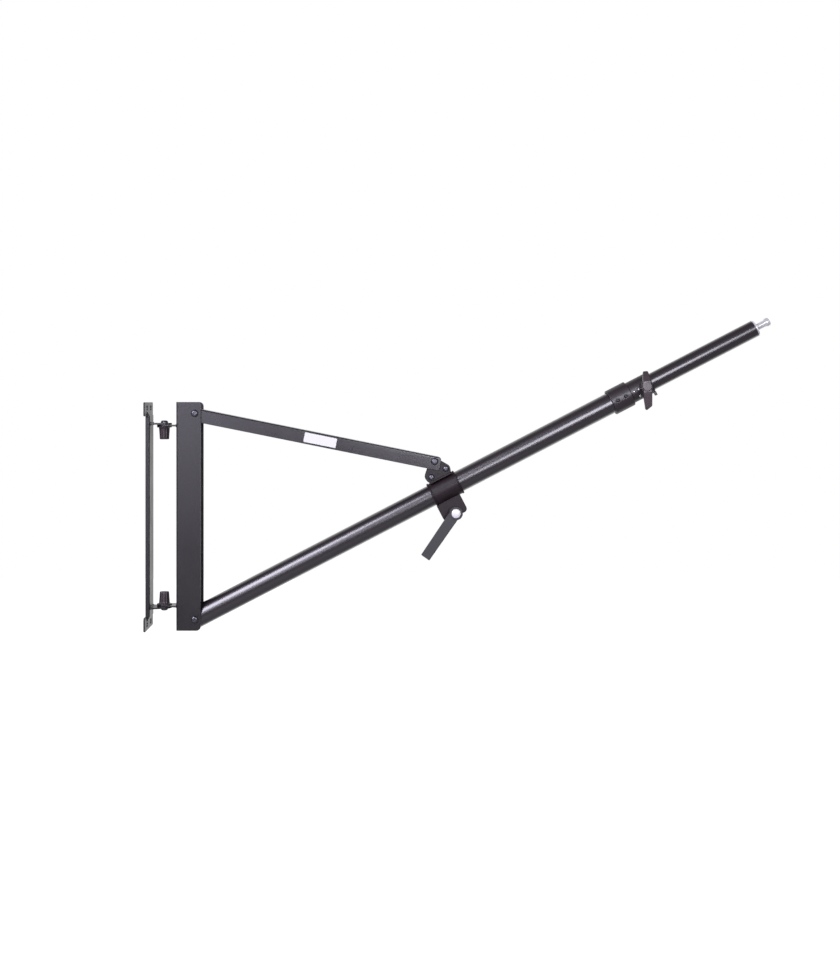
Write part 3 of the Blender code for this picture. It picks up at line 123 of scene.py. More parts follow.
level.operation = "MAXIMUM"
links.new(spot.outputs["Object"], spot_parts.inputs[0])
links.new(spot_parts.outputs["Y"], behind.inputs["Value"])
links.new(seen.outputs["Is Camera Ray"], near.inputs[0])
links.new(near.outputs[0], level.inputs[0])
links.new(behind.outputs["Result"], level.inputs[1])
links.new(level.outputs[0], glow.inputs["Strength"])
both = nodes.new("ShaderNodeAddShader")
links.new(paint.outputs[0], both.inputs[0])
links.new(glow.outputs[0], both.inputs[1])
links.new(paint.outputs[0], pick.inputs[1])
links.new(both.outputs[0], pick.inputs[2])
links.new(pick.outputs[0], nodes["Material Output"].inputs["Surface"])
floor.data.materials.append(floor_paint)

room = bpy.data.worlds.new("white_room")
room.use_nodes = True
scene.world = room
nodes = room.node_tree.nodes
links = room.node_tree.links
fill_light = nodes["Background"]
fill_light.inputs["Color"].default_value = (1, 1, 1, 1)
fill_light.inputs["Strength"].default_value = ROOM_FILL
backdrop = nodes.new("ShaderNodeBackground")
backdrop.inputs["Color"].default_value = (1, 1, 1, 1)
heading = nodes.new("ShaderNodeTexCoord")
depth = nodes.new("ShaderNodeSeparateXYZ")
away = nodes.new("ShaderNodeMapRange")
away.interpolation_type = "SMOOTHSTEP"
away.inputs["From Min"].default_value = 0.1
away.inputs["From Max"].default_value = 0.9
away.inputs["To Min"].default_value = DIM_SIDE
away.inputs["To Max"].default_value = 1.0
seen, pick = picked_for_eye_and_mirror(nodes, links)
strength = nodes.new("ShaderNodeMath")
strength.operation = "MAXIMUM"
links.new(heading.outputs["Generated"], depth.inputs[0])
links.new(depth.outputs["Y"], away.inputs["Value"])
links.new(away.outputs["Result"], strength.inputs[0])
links.new(seen.outputs["Is Camera Ray"], strength.inputs[1])
links.new(strength.outputs[0], backdrop.inputs["Strength"])
links.new(fill_light.outputs[0], pick.inputs[1])
links.new(backdrop.outputs[0], pick.inputs[2])
links.new(pick.outputs[0], nodes["World Output"].inputs["Surface"])


# Lamps
# Two soft boxes stand beside the camera, the left one higher, so that the light line on the tubes
# runs lower towards the boom's tip. Between them the line dims. A lit card beside the camera gives
# the post's face its fall from light to dark.
def add_soft_box(name, place, aim, width, height, brightness, colour):
    lamp = bpy.data.lights.new(name, "AREA")
    lamp.shape = "RECTANGLE"
    lamp.size = width
    lamp.size_y = height
    lamp.energy = brightness * pi * width * height
    lamp.color = colour
    holder = bpy.data.objects.new(name, lamp)
    scene.collection.objects.link(holder)
    holder.location = place
    holder.rotation_euler = (Vector(aim) - Vector(place)).to_track_quat("-Z", "Y").to_euler()


add_soft_box("left_box", (-1.42, -2.6, 1.5), (0.2, 0, -0.05), 1.6, 1.8, 10, (0.88, 0.85, 1.0))
add_soft_box("right_box", (1.1, -2.6, 0.66), (0.85, 0, 0.2), 1.0, 1.1, 9, (0.90, 0.88, 1.0))
add_soft_box("low_card", (-0.3, -2.6, 0.32), (0.1, 0, 0.2), 0.5, 0.9, 2.6, (0.86, 0.84, 1.0))


# Wall plate and hinge ears
# The plate is pressed from 3 mm steel, its ears are cut from the same sheet and welded on, and all
# is powder coated satin black. Each visible edge is broken, as a deburred edge is.
def shown(piece, carrier, finish, material, *nodes_replaced):
    """Paints a finished piece, puts it on its body and hides the plain nodes that it stands for."""
    piece.data.materials.clear()
    piece.data.materials.append(material)
    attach(piece, carrier)
    if nodes_replaced:
        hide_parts(*nodes_replaced)
    return piece


def only(piece):
    bpy.ops.object.select_all(action="DESELECT")
    piece.select_set(True)
    bpy.context.view_layer.objects.active = piece


def eased(piece, edge, segments=2):
    """Rounds the sharp edges and lets the light roll over them."""
    only(piece)
    if edge:
        rounding = piece.modifiers.new("rounding", "BEVEL")
        rounding.width = edge
        rounding.segments = segments
        rounding.limit_method = "ANGLE"
        rounding.angle_limit = radians(30)
        bpy.ops.object.modifier_apply(modifier=rounding.name)
    bpy.ops.object.shade_smooth_by_angle(angle=radians(38))
    weights = piece.modifiers.new("weights", "WEIGHTED_NORMAL")
    weights.keep_sharp = True
    bpy.ops.object.modifier_apply(modifier=weights.name)
    return piece


def merged_copy(node, name):
    """A copy of a plain node with its loose triangles joined, left in edit mode."""
    piece = bpy.data.objects.new(name, frame["nodes"][node].data.copy())
    scene.collection.objects.link(piece)
    only(piece)
    bpy.ops.object.mode_set(mode="EDIT")
    bpy.ops.mesh.select_all(action="SELECT")
    bpy.ops.mesh.customdata_custom_splitnormals_clear()
    bpy.ops.mesh.remove_doubles(threshold=0.01 * MM)
    return piece


def refined(node, edge, material, segments=2):
    """A plain node again with its edges eased, which stands for that node."""
    piece = merged_copy(node, "fine_" + node)
    bpy.ops.mesh.dissolve_limited(angle_limit=radians(0.4))
    bpy.ops.object.mode_set(mode="OBJECT")
    eased(piece, edge, segments)
    return shown(piece, carriers[node], finishes[node], material, node)


def new_group(name, values, colours=()):
    """A node group with named inputs, which gives out a colour, a roughness and a normal."""
    group = bpy.data.node_groups.new(name, "ShaderNodeTree")
    for label, value in values:
        socket = group.interface.new_socket(label, in_out="INPUT", socket_type="NodeSocketFloat")
        socket.default_value = value
    for label in colours:
        group.interface.new_socket(label, in_out="INPUT", socket_type="NodeSocketColor")
    group.interface.new_socket("Color", in_out="OUTPUT", socket_type="NodeSocketColor")
    group.interface.new_socket("Roughness", in_out="OUTPUT", socket_type="NodeSocketFloat")
    group.interface.new_socket("Normal", in_out="OUTPUT", socket_type="NodeSocketVector")
    start = group.nodes.new("NodeGroupInput")
    end = group.nodes.new("NodeGroupOutput")
    return group, start, end


def add_noise(group, vector, size, detail, scale_socket=None):
    noise = group.nodes.new("ShaderNodeTexNoise")
    noise.inputs["Scale"].default_value = size
    noise.inputs["Detail"].default_value = detail
    group.links.new(vector, noise.inputs["Vector"])
    if scale_socket:
        group.links.new(scale_socket, noise.inputs["Scale"])
    return noise


def add_math(group, operation, a, b):
    step = group.nodes.new("ShaderNodeMath")
    step.operation = operation
    for socket, value in zip(step.inputs, (a, b)):
        if isinstance(value, (int, float)):
            socket.default_value = value
        else:
            group.links.new(value, socket)
    return step.outputs[0]


def add_range(group, value, low, high, to_low, to_high):
    spread = group.nodes.new("ShaderNodeMapRange")
    for label, number in (("From Min", low), ("From Max", high), ("To Min", to_low), ("To Max", to_high)):
        if isinstance(number, (int, float)):
            spread.inputs[label].default_value = number
        else:
            group.links.new(number, spread.inputs[label])
    group.links.new(value, spread.inputs["Value"])
    return spread.outputs["Result"]


def add_mix(group, share, a, b):
    mix = group.nodes.new("ShaderNodeMix")
    mix.data_type = "RGBA"
    group.links.new(share, mix.inputs["Factor"])
    for socket, value in ((mix.inputs[6], a), (mix.inputs[7], b)):
        if isinstance(value, tuple):
            socket.default_value = (*value, 1)
        else:
            group.links.new(value, socket)
    return mix.outputs[2]


def build_coat_group():
    """Powder coat: a fine orange peel, cloudy gloss where hands have been, pale dust and small scuffs."""
    group, start, end = new_group(
        "coated_metal",
        [("Gloss Low", 0.3), ("Gloss High", 0.45), ("Peel Size", 900), ("Peel Depth", 0.1), ("Dust", 0.1)],
        ("Coat", "Worn"),
    )
    place = group.nodes.new("ShaderNodeTexCoord").outputs["Object"]
    clouds = add_noise(group, place, 22, 4).outputs["Fac"]
    specks = add_noise(group, place, 340, 3).outputs["Fac"]
    stretch = group.nodes.new("ShaderNodeMapping")
    stretch.inputs["Rotation"].default_value = (0.5, 0.9, 0.3)
    stretch.inputs["Scale"].default_value = (1, 14, 1)
    group.links.new(place, stretch.inputs["Vector"])
    scuffs = add_noise(group, stretch.outputs[0], 60, 6).outputs["Fac"]
    peel = add_noise(group, place, 900, 2, start.outputs["Peel Size"]).outputs["Fac"]
    scuff_mask = add_range(group, scuffs, 0.66, 0.78, 0.0, 1.0)
    speck_mask = add_range(group, specks, 0.62, 0.78, 0.0, 1.0)
    marks = add_math(group, "MAXIMUM", scuff_mask, speck_mask)
    dusty = add_math(group, "MULTIPLY", marks, start.outputs["Dust"])
    worn_colour = add_mix(group, dusty, start.outputs["Coat"], start.outputs["Worn"])
    group.links.new(worn_colour, end.inputs["Color"])
    gloss = add_range(group, clouds, 0.3, 0.7, start.outputs["Gloss Low"], start.outputs["Gloss High"])
    dulled = add_math(group, "MULTIPLY", dusty, 0.3)
    group.links.new(add_math(group, "ADD", gloss, dulled), end.inputs["Roughness"])
    bump = group.nodes.new("ShaderNodeBump")
    bump.inputs["Distance"].default_value = 0.1 * MM
    group.links.new(start.outputs["Peel Depth"], bump.inputs["Strength"])
    group.links.new(peel, bump.inputs["Height"])
    group.links.new(bump.outputs[0], end.inputs["Normal"])
    return group


coated_metal = build_coat_group()


def new_material(name, group, settings, colours, metallic=0.0, specular=0.5, coat=0.0, coat_roughness=0.1):
    """A material whose colour, roughness and normal come from one of the surface groups."""
    material = bpy.data.materials.new(name)
    material.use_nodes = True
    tree = material.node_tree
    shader = tree.nodes["Principled BSDF"]
    surface = tree.nodes.new("ShaderNodeGroup")
    surface.node_tree = group
    for label, value in settings.items():
        surface.inputs[label].default_value = value
    for label, colour in colours.items():
        surface.inputs[label].default_value = (*colour, 1)
    tree.links.new(surface.outputs["Color"], shader.inputs["Base Color"])
    tree.links.new(surface.outputs["Roughness"], shader.inputs["Roughness"])
    tree.links.new(surface.outputs["Normal"], shader.inputs["Normal"])
    shader.inputs["Metallic"].default_value = metallic
    shader.inputs["Specular IOR Level"].default_value = specular
    shader.inputs["Coat Weight"].default_value = coat
    shader.inputs["Coat Roughness"].default_value = coat_roughness
    return material


def coat(name, colour, worn, low, high, size, depth, dust, **gloss):
    settings = {"Gloss Low": low, "Gloss High": high, "Peel Size": size, "Peel Depth": depth, "Dust": dust}
    return new_material(name, coated_metal, settings, {"Coat": colour, "Worn": worn}, **gloss)


plate_coat = coat(
    "plate_coat", (0.015, 0.0125, 0.015), (0.10, 0.10, 0.105), 0.34, 0.44, 320, 0.03, 0.18, specular=0.7
)
refined("wall_plate", 1.15 * MM, plate_coat, 3)
for end in ("upper", "lower"):
    refined(end + "_wall_ear", 0.35 * MM, plate_coat)


# Weld beads
# Short fillet welds hold each ear above and below its sheet. They show the scallops of a hand weld
# under the coat.
BEAD_RADIUS = 1.5 * MM
BEAD_STEP = 1.6 * MM
WALL_BEAD = 38 * MM
POST_BEAD = 32 * MM


def weld_bead(name, middle, length, carrier, material):
    """A bar along Y, grown ring by ring with every second ring a little thinner."""
    bpy.ops.object.select_all(action="DESELECT")
    start = Vector(middle) - Vector((0, length / 2, 0))
    bpy.ops.mesh.primitive_circle_add(
        vertices=14, radius=BEAD_RADIUS * 0.5, fill_type="NGON", location=start, rotation=(pi / 2, 0, 0)
    )
    piece = bpy.context.object
    piece.name = name
    bpy.ops.object.transform_apply(location=True, rotation=True, scale=True)
    bpy.ops.object.mode_set(mode="EDIT")
    bpy.ops.mesh.select_all(action="SELECT")
    steps = int(length / BEAD_STEP) * 2
    here = start.copy()
    for i in range(steps + 1):
        share = 2.0 if i == 0 else 1.0
        share *= 0.5 if i == steps else (1.14 if i % 2 else 0.877) if i else 1.0
        move = length / (steps + 1)
        bpy.ops.mesh.extrude_region_move(TRANSFORM_OT_translate={"value": (0, move, 0)})
        here.y += move
        bpy.ops.transform.resize(value=(share, 1, share), center_override=here)
    bpy.ops.mesh.select_all(action="SELECT")
    bpy.ops.mesh.normals_make_consistent(inside=False)
    bpy.ops.object.mode_set(mode="OBJECT")
    bpy.ops.object.shade_smooth_by_angle(angle=radians(60))
    return shown(piece, carrier, "satin_black", material)


HINGE_X = 32 * MM
for end in ("upper", "lower"):
    low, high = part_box(end + "_wall_ear")
    for word, level in (("over", high.z), ("under", low.z)):
        weld_bead(f"{end}_wall_weld_{word}", (low.x, 0, level), WALL_BEAD, "wall", plate_coat)


# Post and its ears
# The post is a channel folded from 2 mm sheet, open to the room, with the boom and the brace
# between its legs. It is coated like the plate, and its ears are welded to its back.
post_coat = coat(
    "post_coat", (0.0150, 0.0115, 0.0145), (0.11, 0.11, 0.115), 0.29, 0.34, 320, 0.03, 0.12, specular=0.9
)
refined("post_channel", 0.35 * MM, post_coat)
for end in ("upper", "lower"):
    refined(end + "_post_ear", 0.35 * MM, post_coat)
    low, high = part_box(end + "_post_ear")
    for word, level in (("over", high.z), ("under", low.z)):
        weld_bead(f"{end}_post_weld_{word}", (high.x, 0, level), POST_BEAD, "post", post_coat)


# Hinge knobs
# Each tapered knob is moulded in dark brown plastic with fourteen rounded ribs and a thin flange,
# and screws on the hinge bolt to clamp the ears.
KNOB_RIBS = 14
KNOB_STEPS_A_RIB = 12
KNOB_RIB_DEPTH = 0.8 * MM
KNOB_RIBS_FROM = 2.5 * MM
KNOB_BORE = 7 * MM
KNOB_MEAN_RADIUS = 9.5 * MM


def place_of(x, z, turn, y=0.0):
    return Matrix.Translation((x, y, z)) @ turn


UPWARD = Matrix.Identity(4)
DOWNWARD = Matrix.Rotation(pi, 4, "X")
NEARWARD = Matrix.Rotation(pi / 2, 4, "X")
FARWARD = Matrix.Rotation(-pi / 2, 4, "X")


def spun(name, profile, place, steps=96):
    """Draws half a section point by point, as radius and height in mm, and spins it round its axis."""
    bpy.ops.object.select_all(action="DESELECT")
    bpy.ops.mesh.primitive_plane_add(size=MM)
    piece = bpy.context.object
    piece.name = name
    bpy.ops.object.mode_set(mode="EDIT")
    bpy.ops.mesh.select_all(action="SELECT")
    bpy.ops.mesh.merge(type="CENTER")
    here = (0.0, 0.0)
    for i, (radius, height) in enumerate(profile):
        move = {"value": ((radius - here[0]) * MM, 0, (height - here[1]) * MM)}
        if i == 0:
            bpy.ops.transform.translate(**move)
        else:
            bpy.ops.mesh.extrude_region_move(TRANSFORM_OT_translate=move)
        here = (radius, height)
    bpy.ops.mesh.select_all(action="SELECT")
    bpy.ops.mesh.spin(steps=steps, angle=2 * pi, center=(0, 0, 0), axis=(0, 0, 1))
    bpy.ops.mesh.select_all(action="SELECT")
    bpy.ops.mesh.remove_doubles(threshold=0.005 * MM)
    bpy.ops.mesh.normals_make_consistent(inside=False)
    bpy.ops.object.mode_set(mode="OBJECT")
    piece.matrix_world = place
    bpy.ops.object.transform_apply(location=True, rotation=True, scale=True)
    return piece


def choose(piece, wanted):
    """Selects only the points that are wanted and leaves the piece in edit mode."""
    only(piece)
    bpy.ops.object.mode_set(mode="EDIT")
    bpy.ops.mesh.select_mode(type="VERT")
    bpy.ops.mesh.select_all(action="DESELECT")
    bpy.ops.object.mode_set(mode="OBJECT")
    for vertex in piece.data.vertices:
        vertex.select = wanted(vertex.co)
    bpy.ops.object.mode_set(mode="EDIT")


def column(point):
    """Where a point stands within its rib, counted round the knob."""
    turn = point.xy.angle_signed(Vector((1, 0)), 0.0) % (2 * pi)
    return round(turn / (2 * pi) * KNOB_RIBS * KNOB_STEPS_A_RIB) % KNOB_STEPS_A_RIB


knob_plastic = coat(
    "knob_plastic", (0.036, 0.024, 0.029), (0.16, 0.13, 0.14), 0.34, 0.44, 340, 0.08, 0.2, specular=0.8
)
knob_profile = [(4.3, 0), (13.7, 0), (14, 0.35), (14, 1.1), (13.6, 1.5), (10.6, 2.1), (10.1, 2.9)]
knob_profile += [(9.95, 5), (9.75, 8), (9.55, 11), (9.35, 14), (9.15, 17), (8.95, 20), (8.8, 22.4)]
knob_profile += [(8.5, 23.4), (7.8, 23.95), (0, 24), (0, 20), (4.3, 20), (4.3, 0)]
for end, side in (("upper", 1), ("lower", -1)):
    low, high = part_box(end + "_hinge_knob")
    face = high.z if side > 0 else low.z
    knob = spun(
        end + "_ribbed_knob", knob_profile, Matrix.Identity(4), steps=KNOB_RIBS * KNOB_STEPS_A_RIB
    )
    for step in range(1, KNOB_STEPS_A_RIB):
        choose(
            knob,
            lambda point: column(point) == step
            and point.z > KNOB_RIBS_FROM
            and point.xy.length > KNOB_BORE,
        )
        fall = (0.5 - 0.5 * cos(2 * pi * step / KNOB_STEPS_A_RIB)) ** 0.7
        share = 1 - KNOB_RIB_DEPTH / KNOB_MEAN_RADIUS * fall
        bpy.ops.transform.resize(value=(share, share, 1), center_override=(0, 0, 0))
        bpy.ops.object.mode_set(mode="OBJECT")
    knob.matrix_world = place_of(HINGE_X, face, DOWNWARD if side > 0 else UPWARD)
    bpy.ops.object.transform_apply(location=True, rotation=True, scale=True)
    bpy.ops.object.shade_smooth_by_angle(angle=radians(50))
    shown(knob, end + "_knob", "black_plastic", knob_plastic, end + "_hinge_knob")


# Bolts and nuts
# Button head bolts and lock nuts hold the pivots. The bolts are blackened, with a hex socket in
# the head and rolled threads at the end, and the nuts are plated, with a domed collar at the top whose
# nylon ring is not drawn.
def build_metal_group():
    """Machined metal: fine turning lines, cloudy gloss from handling and a little grime."""
    group, start, end = new_group(
        "worked_metal", [("Gloss Low", 0.18), ("Gloss High", 0.34), ("Line Depth", 0.1)], ("Metal", "Grime")
    )
    place = group.nodes.new("ShaderNodeTexCoord").outputs["Object"]
    clouds = add_noise(group, place, 60, 5).outputs["Fac"]
    fine = add_noise(group, place, 900, 4).outputs["Fac"]
    smears = add_noise(group, place, 130, 6).outputs["Fac"]
    grime = add_range(group, smears, 0.56, 0.74, 0.0, 0.5)
    soiled = add_mix(group, grime, start.outputs["Metal"], start.outputs["Grime"])
    group.links.new(soiled, end.inputs["Color"])
    gloss = add_range(group, clouds, 0.3, 0.7, start.outputs["Gloss Low"], start.outputs["Gloss High"])
    lines = add_math(group, "MULTIPLY", fine, 0.06)
    group.links.new(add_math(group, "ADD", gloss, lines), end.inputs["Roughness"])
    bump = group.nodes.new("ShaderNodeBump")
    bump.inputs["Distance"].default_value = 0.05 * MM
    group.links.new(start.outputs["Line Depth"], bump.inputs["Strength"])
    group.links.new(fine, bump.inputs["Height"])
    group.links.new(bump.outputs[0], end.inputs["Normal"])
    return group


worked_metal = build_metal_group()


def metal(name, colour, grime, low, high, depth, metallic=1.0):
    settings = {"Gloss Low": low, "Gloss High": high, "Line Depth": depth}
    return new_material(name, worked_metal, settings, {"Metal": colour, "Grime": grime}, metallic=metallic)


black_steel = metal("blackened_steel", (0.15, 0.15, 0.17), (0.05, 0.05, 0.055), 0.24, 0.38, 0.15)
bright_steel = metal("plated_steel", (0.72, 0.72, 0.74), (0.42, 0.41, 0.40), 0.16, 0.28, 0.1)


def cut(piece, cutter, operation="DIFFERENCE"):
    """Cuts one piece with another, which is used up."""
    only(piece)
    tool = piece.modifiers.new("cut", "BOOLEAN")
    tool.operation = operation
    tool.solver = "EXACT"
    tool.object = cutter
    bpy.ops.object.modifier_apply(modifier=tool.name)
    bpy.data.objects.remove(cutter)
    return piece


def rod(name, radius, low, high, place, steps=48):
    """A plain round bar between two heights in mm."""
    bpy.ops.object.select_all(action="DESELECT")
    middle = (0, 0, (low + high) / 2 * MM)
    bpy.ops.mesh.primitive_cylinder_add(
        vertices=steps, radius=radius * MM, depth=(high - low) * MM, location=middle
    )
    piece = bpy.context.object
    piece.name = name
    bpy.ops.object.transform_apply(location=True, rotation=True, scale=True)
    piece.matrix_world = place
    bpy.ops.object.transform_apply(location=True, rotation=True, scale=True)
    return piece


def hexagon(name, width, low, high, place):
    """A hexagonal bar between two heights, in mm, width measured across its flats."""
    return rod(name, width / sqrt(3), low, high, place, steps=6)


def rounded_head(radius, seat, height):
    """Outline of a button head from its rim to its flat top."""
    points = [(radius - 0.25, seat), (radius, seat + 0.3)]
    for i in range(1, 8):
        turn = i / 8 * pi / 2
        points.append((radius * (0.42 + 0.58 * cos(turn)), seat + 0.3 + (height - 0.3) * sin(turn)))
    return points + [(radius * 0.42, seat + height)]


def threaded_end(radius, low, high, pitch=1.0):
    """Outline of rolled threads, downwards from one height to another, with a chamfered tip."""
    points = []
    here = high
    while here - pitch > low + 0.8:
        points += [(radius, here), (radius - 0.5, here - pitch / 2)]
        here -= pitch
    return points + [(radius, here), (radius, low + 0.8), (radius - 0.8, low), (0, low)]


def button_bolt(name, radius, head_radius, head, place, seat, tip, thread, socket, node):
    """A bolt whose head stands out on the near side and whose threads show on the far side."""
    profile = [(0, seat + head)] + rounded_head(head_radius, seat, head)[::-1]
    profile += [(radius, seat), (radius, -tip + thread)]
    profile += threaded_end(radius, -tip, -tip + thread - 0.2)
    bolt = spun(name, profile, place, steps=64)
    cut(bolt, hexagon("socket", socket, seat + head - 2.4, seat + head + 3, place))
    eased(bolt, 0.0)
    return shown(bolt, carriers[node], "black_steel", black_steel, node)


def lock_nut(name, width, height, bore, place, seat, node):
    """A hexagon turned down to a domed collar and bored through; the nylon ring inside is not drawn."""
    nut = hexagon(name, width, seat, seat + height, place)
    half = width / 2
    shape = [(0, seat), (half - 0.1, seat), (half * 1.16, seat + 0.9), (half * 1.16, seat + height * 0.62)]
    top = seat + height
    shape += [(half - 0.2, seat + height * 0.7), (half - 0.5, seat + height * 0.88), (half - 1.3, top)]
    cut(nut, spun("turning", shape + [(0, top), (0, seat)], place, steps=64), "INTERSECT")
    bore_shape = [(0, seat - 1), (bore, seat - 1), (bore, top + 1), (0, top + 1)]
    cut(nut, spun("bore", bore_shape, place, steps=48))
    eased(nut, 0.15 * MM)
    return shown(nut, carriers[node], "bright_steel", bright_steel, node)


PIVOT_X = 91.5 * MM
PIVOT_HALF = 191.5 * MM
for end, level in (("brace_root", PIVOT_HALF), ("boom_root", -PIVOT_HALF)):
    place = place_of(PIVOT_X, level, NEARWARD)
    button_bolt(end + "_button_bolt", 4, 6.75, 4, place, 23.55, 32.55, 14, 5, end + "_bolt")
    lock_nut(end + "_lock_nut", 13, 7.5, 4.1, place_of(PIVOT_X, level, FARWARD), 23.55, end + "_nut")

# Hinge bolts
# The two hinge bolts have plain mushroom heads, blackened like the pivots' bolts.
for end, side in (("upper", 1), ("lower", -1)):
    low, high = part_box(end + "_hinge_bolt")
    top = high.z if side > 0 else low.z
    place = place_of(HINGE_X, top, UPWARD if side > 0 else DOWNWARD)
    profile = [(0, 0)] + [(r, h - 4.5) for r, h in rounded_head(7, 0, 4.5)[::-1]]
    profile += [(4, -4.5), (4, -18)] + threaded_end(4, -26 - 4.5, -18.2)
    bolt = eased(spun(end + "_mushroom_bolt", profile, place, steps=64), 0.0)
    shown(bolt, "wall", "black_steel", black_steel, end + "_hinge_bolt")


# Tubes
# The boom's two tubes are drawn steel, thinly powder coated, so that they mirror the soft boxes in
# one long line. The outer one is closed at its root by a plastic plug that the root bolt goes through.
BOOM_ANGLE = radians(27.36)
BOOM_START = Vector((PIVOT_X, 0, -PIVOT_HALF))
OUT_ALONG = Vector((cos(BOOM_ANGLE), 0, sin(BOOM_ANGLE)))
SQUARE_UP = Vector((-sin(BOOM_ANGLE), 0, cos(BOOM_ANGLE)))


def boom_point(along, up=0.0, y=0.0):
    """A point in mm along the boom, square above it and away from the camera."""
    return BOOM_START + (OUT_ALONG * along + SQUARE_UP * up + Vector((0, y, 0))) * MM


def along_boom(along, up=0.0):
    return Matrix.Translation(boom_point(along, up)) @ Matrix.Rotation(pi / 2 - BOOM_ANGLE, 4, "Y")


def across_boom(along, up=0.0, facing=NEARWARD, turn=0.0):
    return Matrix.Translation(boom_point(along, up)) @ Matrix.Rotation(turn - BOOM_ANGLE, 4, "Y") @ facing


def tube_outline(bore, radius, low, high, edge=0.35):
    """Section of a tube with its four rims eased."""
    outline = [(bore, low + edge), (bore + edge, low), (radius - edge, low), (radius, low + edge)]
    outline += [(radius, high - edge), (radius - edge, high), (bore + edge, high), (bore, high - edge)]
    return outline + [(bore, low + edge)]


tube_coat = coat(
    "tube_coat", (0.015, 0.0095, 0.014), (0.10, 0.10, 0.105), 0.27, 0.31, 120, 0.004, 0.05,
    specular=1.0, coat=1.0, coat_roughness=0.28
)
outer = spun("drawn_outer_tube", tube_outline(18.2, 20, -11, 908), along_boom(0), steps=128)
cut(outer, rod("root_drill", 4.3, -30, 30, across_boom(0)))
shown(eased(outer, 0.0), "boom", "satin_black", tube_coat, "outer_tube")
inner = spun("drawn_inner_tube", tube_outline(14.5, 16, 297.5, 1177.5), along_boom(0), steps=112)
shown(eased(inner, 0.0), "extension", "satin_black", tube_coat, "inner_tube")

hard_plastic = coat(
    "hard_plastic", (0.020, 0.0135, 0.0165), (0.15, 0.14, 0.15), 0.34, 0.44, 320, 0.05, 0.12, specular=0.3
)
plug_outline = [(0, -12.9), (18.2, -12.9), (19.4, -12.65), (20, -12.1), (20, -11.3), (17.9, -11.3)]
plug = spun("moulded_root_plug", plug_outline + [(17.9, 28.7), (0, 28.7)], along_boom(0))
cut(plug, rod("plug_drill", 4.3, -30, 30, across_boom(0)))
shown(eased(plug, 0.0), "boom", "black_plastic", hard_plastic, "boom_root_plug")


# Reducer sleeve and lock collar
# Both are castings, bead blasted and blackened. The sleeve steps down to a nose that is slit four
# ways, and the collar stands round the nose with a boss for the tee handle's stud.
STUD_ALONG = 941
REDUCER_SCREWS = (("rear", 885.5), ("front", 902))
cast_metal = coat(
    "cast_metal", (0.020, 0.013, 0.0165), (0.15, 0.14, 0.15), 0.38, 0.44, 240, 0.012, 0.08, specular=0.95
)
dull_casting = coat(
    "dull_casting", (0.021, 0.013, 0.0165), (0.15, 0.14, 0.15), 0.36, 0.46, 340, 0.06, 0.16, specular=0.35
)
bracket_coat = coat(
    "bracket_coat", (0.0165, 0.012, 0.0145), (0.11, 0.11, 0.115), 0.34, 0.42, 320, 0.03, 0.14, specular=0.4
)
sleeve_outline = [(20.3, 875), (23.3, 875), (23.95, 875.3), (24.2, 875.9), (24.2, 913.0)]
sleeve_outline += [(23.9, 913.7), (23.2, 914), (18, 914), (18, 955.3), (19.2, 955.3), (19.6, 955.6)]
sleeve_outline += [(19.7, 956.1), (19.7, 957.8), (19.3, 958.3)]
sleeve_outline += [(18.7, 958.5), (16.7, 958.5), (16.4, 958.2), (16.4, 908.3), (20.3, 908.3), (20.3, 875)]
sleeve = spun("cast_reducer", sleeve_outline, along_boom(0), steps=112)
bpy.ops.object.select_all(action="DESELECT")
bpy.ops.mesh.primitive_cube_add(size=MM)
lug = bpy.context.object
bpy.ops.transform.resize(value=(7.5, 8, 4.4))
bpy.ops.transform.translate(value=(22.45 * MM, 0, 957.8 * MM))
bpy.ops.object.transform_apply(location=True, rotation=True, scale=True)
lug.matrix_world = along_boom(0)
bpy.ops.object.transform_apply(location=True, rotation=True, scale=True)
cut(sleeve, eased(lug, 0.5 * MM), "UNION")
for turn in range(4):
    bpy.ops.object.select_all(action="DESELECT")
    bpy.ops.mesh.primitive_cube_add(size=MM, location=(20 * MM, 0, 942.5 * MM))
    saw = bpy.context.object
    bpy.ops.transform.resize(value=(14, 1.6, 40))
    bpy.ops.object.transform_apply(location=True, rotation=True, scale=True)
    saw.matrix_world = along_boom(0) @ Matrix.Rotation(pi / 4 + turn * pi / 2, 4, "Z")
    bpy.ops.object.transform_apply(location=True, rotation=True, scale=True)
    cut(sleeve, saw)
cut(sleeve, rod("stud_hole", 4, 10, 40, across_boom(STUD_ALONG)))
for _, along in REDUCER_SCREWS:
    cut(sleeve, rod("screw_hole", 2.3, 12, 40, across_boom(along)))
    cut(sleeve, rod("spot_face", 4.4, 23.0, 40, across_boom(along)))
shown(eased(sleeve, 0.0), "boom", "cast_black", cast_metal, "reducer_sleeve")

black_oxide = metal("black_oxide", (0.045, 0.042, 0.047), (0.03, 0.03, 0.032), 0.3, 0.42, 0.05)
for end, along in REDUCER_SCREWS:
    screw_outline = [(0, 26.1), (1.6, 26.1), (2.5, 25.9), (3.05, 25.45), (3.25, 24.9), (3.1, 24.5)]
    screw_outline += [(2, 24.5), (2, 21), (1.6, 20.3), (0, 20.3)]
    place = across_boom(along)
    screw = spun(end + "_socket_screw", screw_outline, place, steps=48)
    cut(screw, hexagon("screw_socket", 2.5, 24.9, 30, place))
    shown(eased(screw, 0.0), "boom", "black_steel", black_oxide, end + "_reducer_screw")

